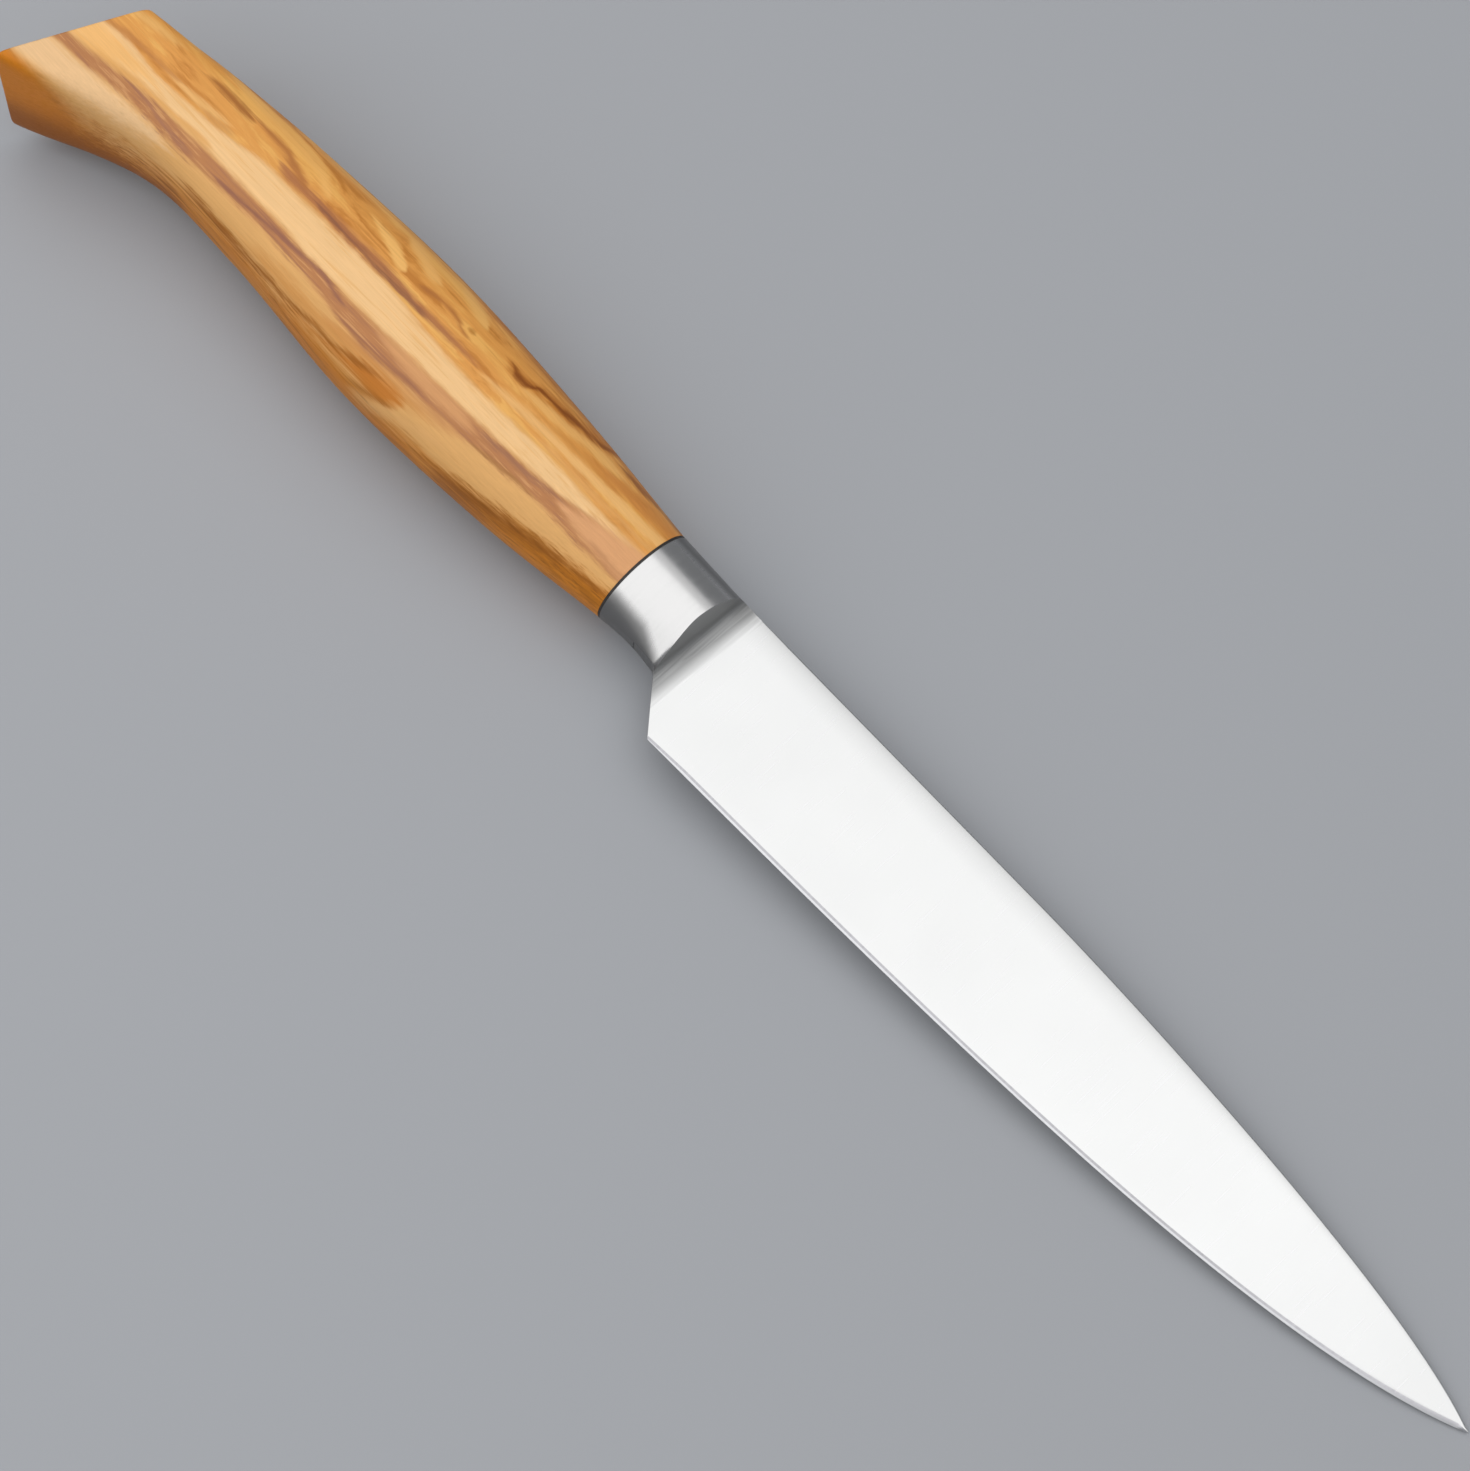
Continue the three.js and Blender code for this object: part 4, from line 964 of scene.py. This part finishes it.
    def near_end(run):
        """Zero up to a run before the butt's end, then growing to one, slowly at first."""
        left = add("Math", [remaining, run], operation="DIVIDE", use_clamp=True)
        passed = add("Math", [1.0, left], operation="SUBTRACT")
        return add("Math", [passed, passed], operation="MULTIPLY")

    # Near the butt's end the corners grow crisper.
    run, squarer, _ = add("SeparateXYZ", [sizes["Corners"]]).outputs
    square = add("Math", [near_end(run), squarer, square], operation="MULTIPLY_ADD")

    # The rim: at the very end the section draws in along a quarter circle.
    circle = add("Math", [1.0, near_end(sizes["Rim Radius"])], operation="SUBTRACT")
    circle = add("Math", [circle], operation="SQRT")
    inset = add("Math", [1.0, circle], operation="SUBTRACT")
    inset = add("Math", [inset, sizes["Rim Radius"]], operation="MULTIPLY")

    # The section: a rounded oval whose squareness grows to the butt. End rings close to a point.
    opened = add("Math", [number, 0.5], operation="GREATER_THAN")
    closing = add("Math", [last, 0.5], operation="SUBTRACT")
    before = add("Math", [number, closing], operation="LESS_THAN")
    size = add("Math", [opened, before], operation="MULTIPLY")
    cosine = add("Math", [turn], operation="COSINE")
    sine = add("Math", [turn], operation="SINE")
    powers = []
    for wave in (cosine, sine):
        plain = add("Math", [wave], operation="ABSOLUTE")
        powers.append(add("Math", [plain, square], operation="POWER"))
    spread = add("Math", powers, operation="ADD")
    root = add("Math", [-1.0, square], operation="DIVIDE")
    spread = add("Math", [spread, root], operation="POWER")
    size = add("Math", [spread, size], operation="MULTIPLY")
    middle = add("Math", [above, below], operation="SUBTRACT")
    middle = add("Math", [middle, 0.5], operation="MULTIPLY")
    reach = add("Math", [above, below], operation="ADD")
    reach = add("Math", [reach, 0.5], operation="MULTIPLY")
    reach = add("Math", [reach, inset], operation="SUBTRACT")
    reach = add("Math", [reach, size], operation="MULTIPLY")
    y = add("Math", [cosine, reach, middle], operation="MULTIPLY_ADD")
    half = add("Math", [thick, inset], operation="SUBTRACT")
    half = add("Math", [half, size], operation="MULTIPLY")
    z = add("Math", [sine, half], operation="MULTIPLY")
    x = add("Math", [lean, y, HANDLE_FRONT], operation="MULTIPLY_ADD")
    x = add("Math", [x, back], operation="SUBTRACT")
    place = add("CombineXYZ", [x, y, z])
    moved = add("GeometryNodeSetPosition", {"Geometry": grid, "Position": place})
    closed = add("GeometryNodeMergeByDistance", {"Geometry": moved, "Distance": SEAM})
    solid = add("GeometryNodeRealizeInstances", {"Geometry": closed})
    dressed = add("GeometryNodeSetMaterial", {"Geometry": solid, "Material": olive_wood})
    add("NodeGroupOutput", {"Geometry": dressed})
    return tree


handle = bpy.data.objects.new("knife_handle", bpy.data.meshes.new("blank"))
bpy.context.scene.collection.objects.link(handle)
loft = handle.modifiers.new("loft", "NODES")
loft.node_group = handle_tree()
values = {
    "Rings": RINGS, "Points Around": POINTS_AROUND, "Rim Radius": RIM_RADIUS,
    "Corners": (CORNER_RUN, CORNER_SQUARENESS, 0),
    "Bore": (BORE_DEPTH, BORE_HALF_HEIGHT, BORE_HALF_WIDTH), "Bore Squareness": BORE_SQUARENESS,
}
for name, (back, top, bottom, half, squareness, lean) in STATIONS.items():
    values[f"{name} Heights"] = (back, top, bottom)
    values[f"{name} Section"] = (half, squareness, math.tan(math.radians(lean)))
for socket in loft.node_group.interface.items_tree:
    if socket.in_out == "INPUT":
        loft[socket.identifier] = values[socket.name]
mesh = bpy.data.meshes.new_from_object(handle.evaluated_get(bpy.context.evaluated_depsgraph_get()))
handle.modifiers.remove(loft)
handle.data = mesh
spots = np.zeros(len(mesh.vertices) * 3)
mesh.vertices.foreach_get("co", spots)
mesh.vertices.foreach_set("co", lay_down(spots.reshape(-1, 3)).ravel())
smooth(mesh, HANDLE_CRISP)
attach(handle, "root")
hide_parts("handle")

# Table
# A plain pale table under the knife, lit by a broad soft box that drops lower on the edge's side.
# The rest of the room is grey, and none of it is part of the knife.
HALF_TABLE = 3.0
TABLE_DROP = 0.05 * MM  # just under the knife's lowest point
table = bpy.data.objects.new("table", bpy.data.meshes.new("table"))
corners = [(x * HALF_TABLE, y * HALF_TABLE, -TABLE_DROP) for x, y in ((-1, -1), (1, -1), (1, 1), (-1, 1))]
table.data.from_pydata(corners, [], [(0, 1, 2, 3)])
bpy.context.scene.collection.objects.link(table)
laminate = bpy.data.materials.new("laminate, matt pale grey")
laminate.use_nodes = True
matt = laminate.node_tree.nodes["Principled BSDF"]
matt.inputs["Base Color"].default_value = linear("#A0A2A6")
matt.inputs["Roughness"].default_value = 0.75
table.data.materials.append(laminate)

world = bpy.data.worlds.new("grey room")
world.use_nodes = True
room = world.node_tree.nodes["Background"]
room.inputs["Color"].default_value = linear("#888A8D")
room.inputs["Strength"].default_value = 1.0
bpy.context.scene.world = world

# Each panel: place, length along the knife, width across it, turn about the knife's length, power.
PANELS = {
    "soft box": ((-0.335, -0.45, 0.75), 1.33, 1.8, 0, 5.0),
    "soft box rim": ((-0.22, -0.25, 0.76), 1.76, 2.2, 0, 8.0),
    "soft box wing": ((-0.335, -1.45, 0.5), 1.33, 0.55, 70, 2.7),
}
for name, (place, length, width, turn, power) in PANELS.items():
    panel = bpy.data.objects.new(name, bpy.data.lights.new(name, "AREA"))
    panel.data.shape = "RECTANGLE"
    panel.data.size = length
    panel.data.size_y = width
    panel.data.energy = power
    panel.location = place
    panel.rotation_euler = (math.radians(turn), 0, 0)
    bpy.context.scene.collection.objects.link(panel)

# Camera
# It looks down on the knife from the edge's side, close to the handle's end of the blade.
# Its focal length was worked out in pixels of a picture of 1470 by 1471.
SENSOR = 36.0
FOCAL_PIXELS = 3270.0
PICTURE_HEIGHT = 1471.0
camera = bpy.data.objects.new("camera", bpy.data.cameras.new("camera"))
camera.location = (0.09960796, -0.11541655, 0.37768310)
camera.rotation_euler = [math.radians(a) for a in (21.524918, -2.587118, 46.671274)]
camera.data.sensor_width = SENSOR
camera.data.lens = SENSOR * FOCAL_PIXELS / PICTURE_HEIGHT
camera.data.clip_start = 0.01
bpy.context.scene.collection.objects.link(camera)
bpy.context.scene.camera = camera
bpy.context.scene.view_settings.view_transform = "Standard"
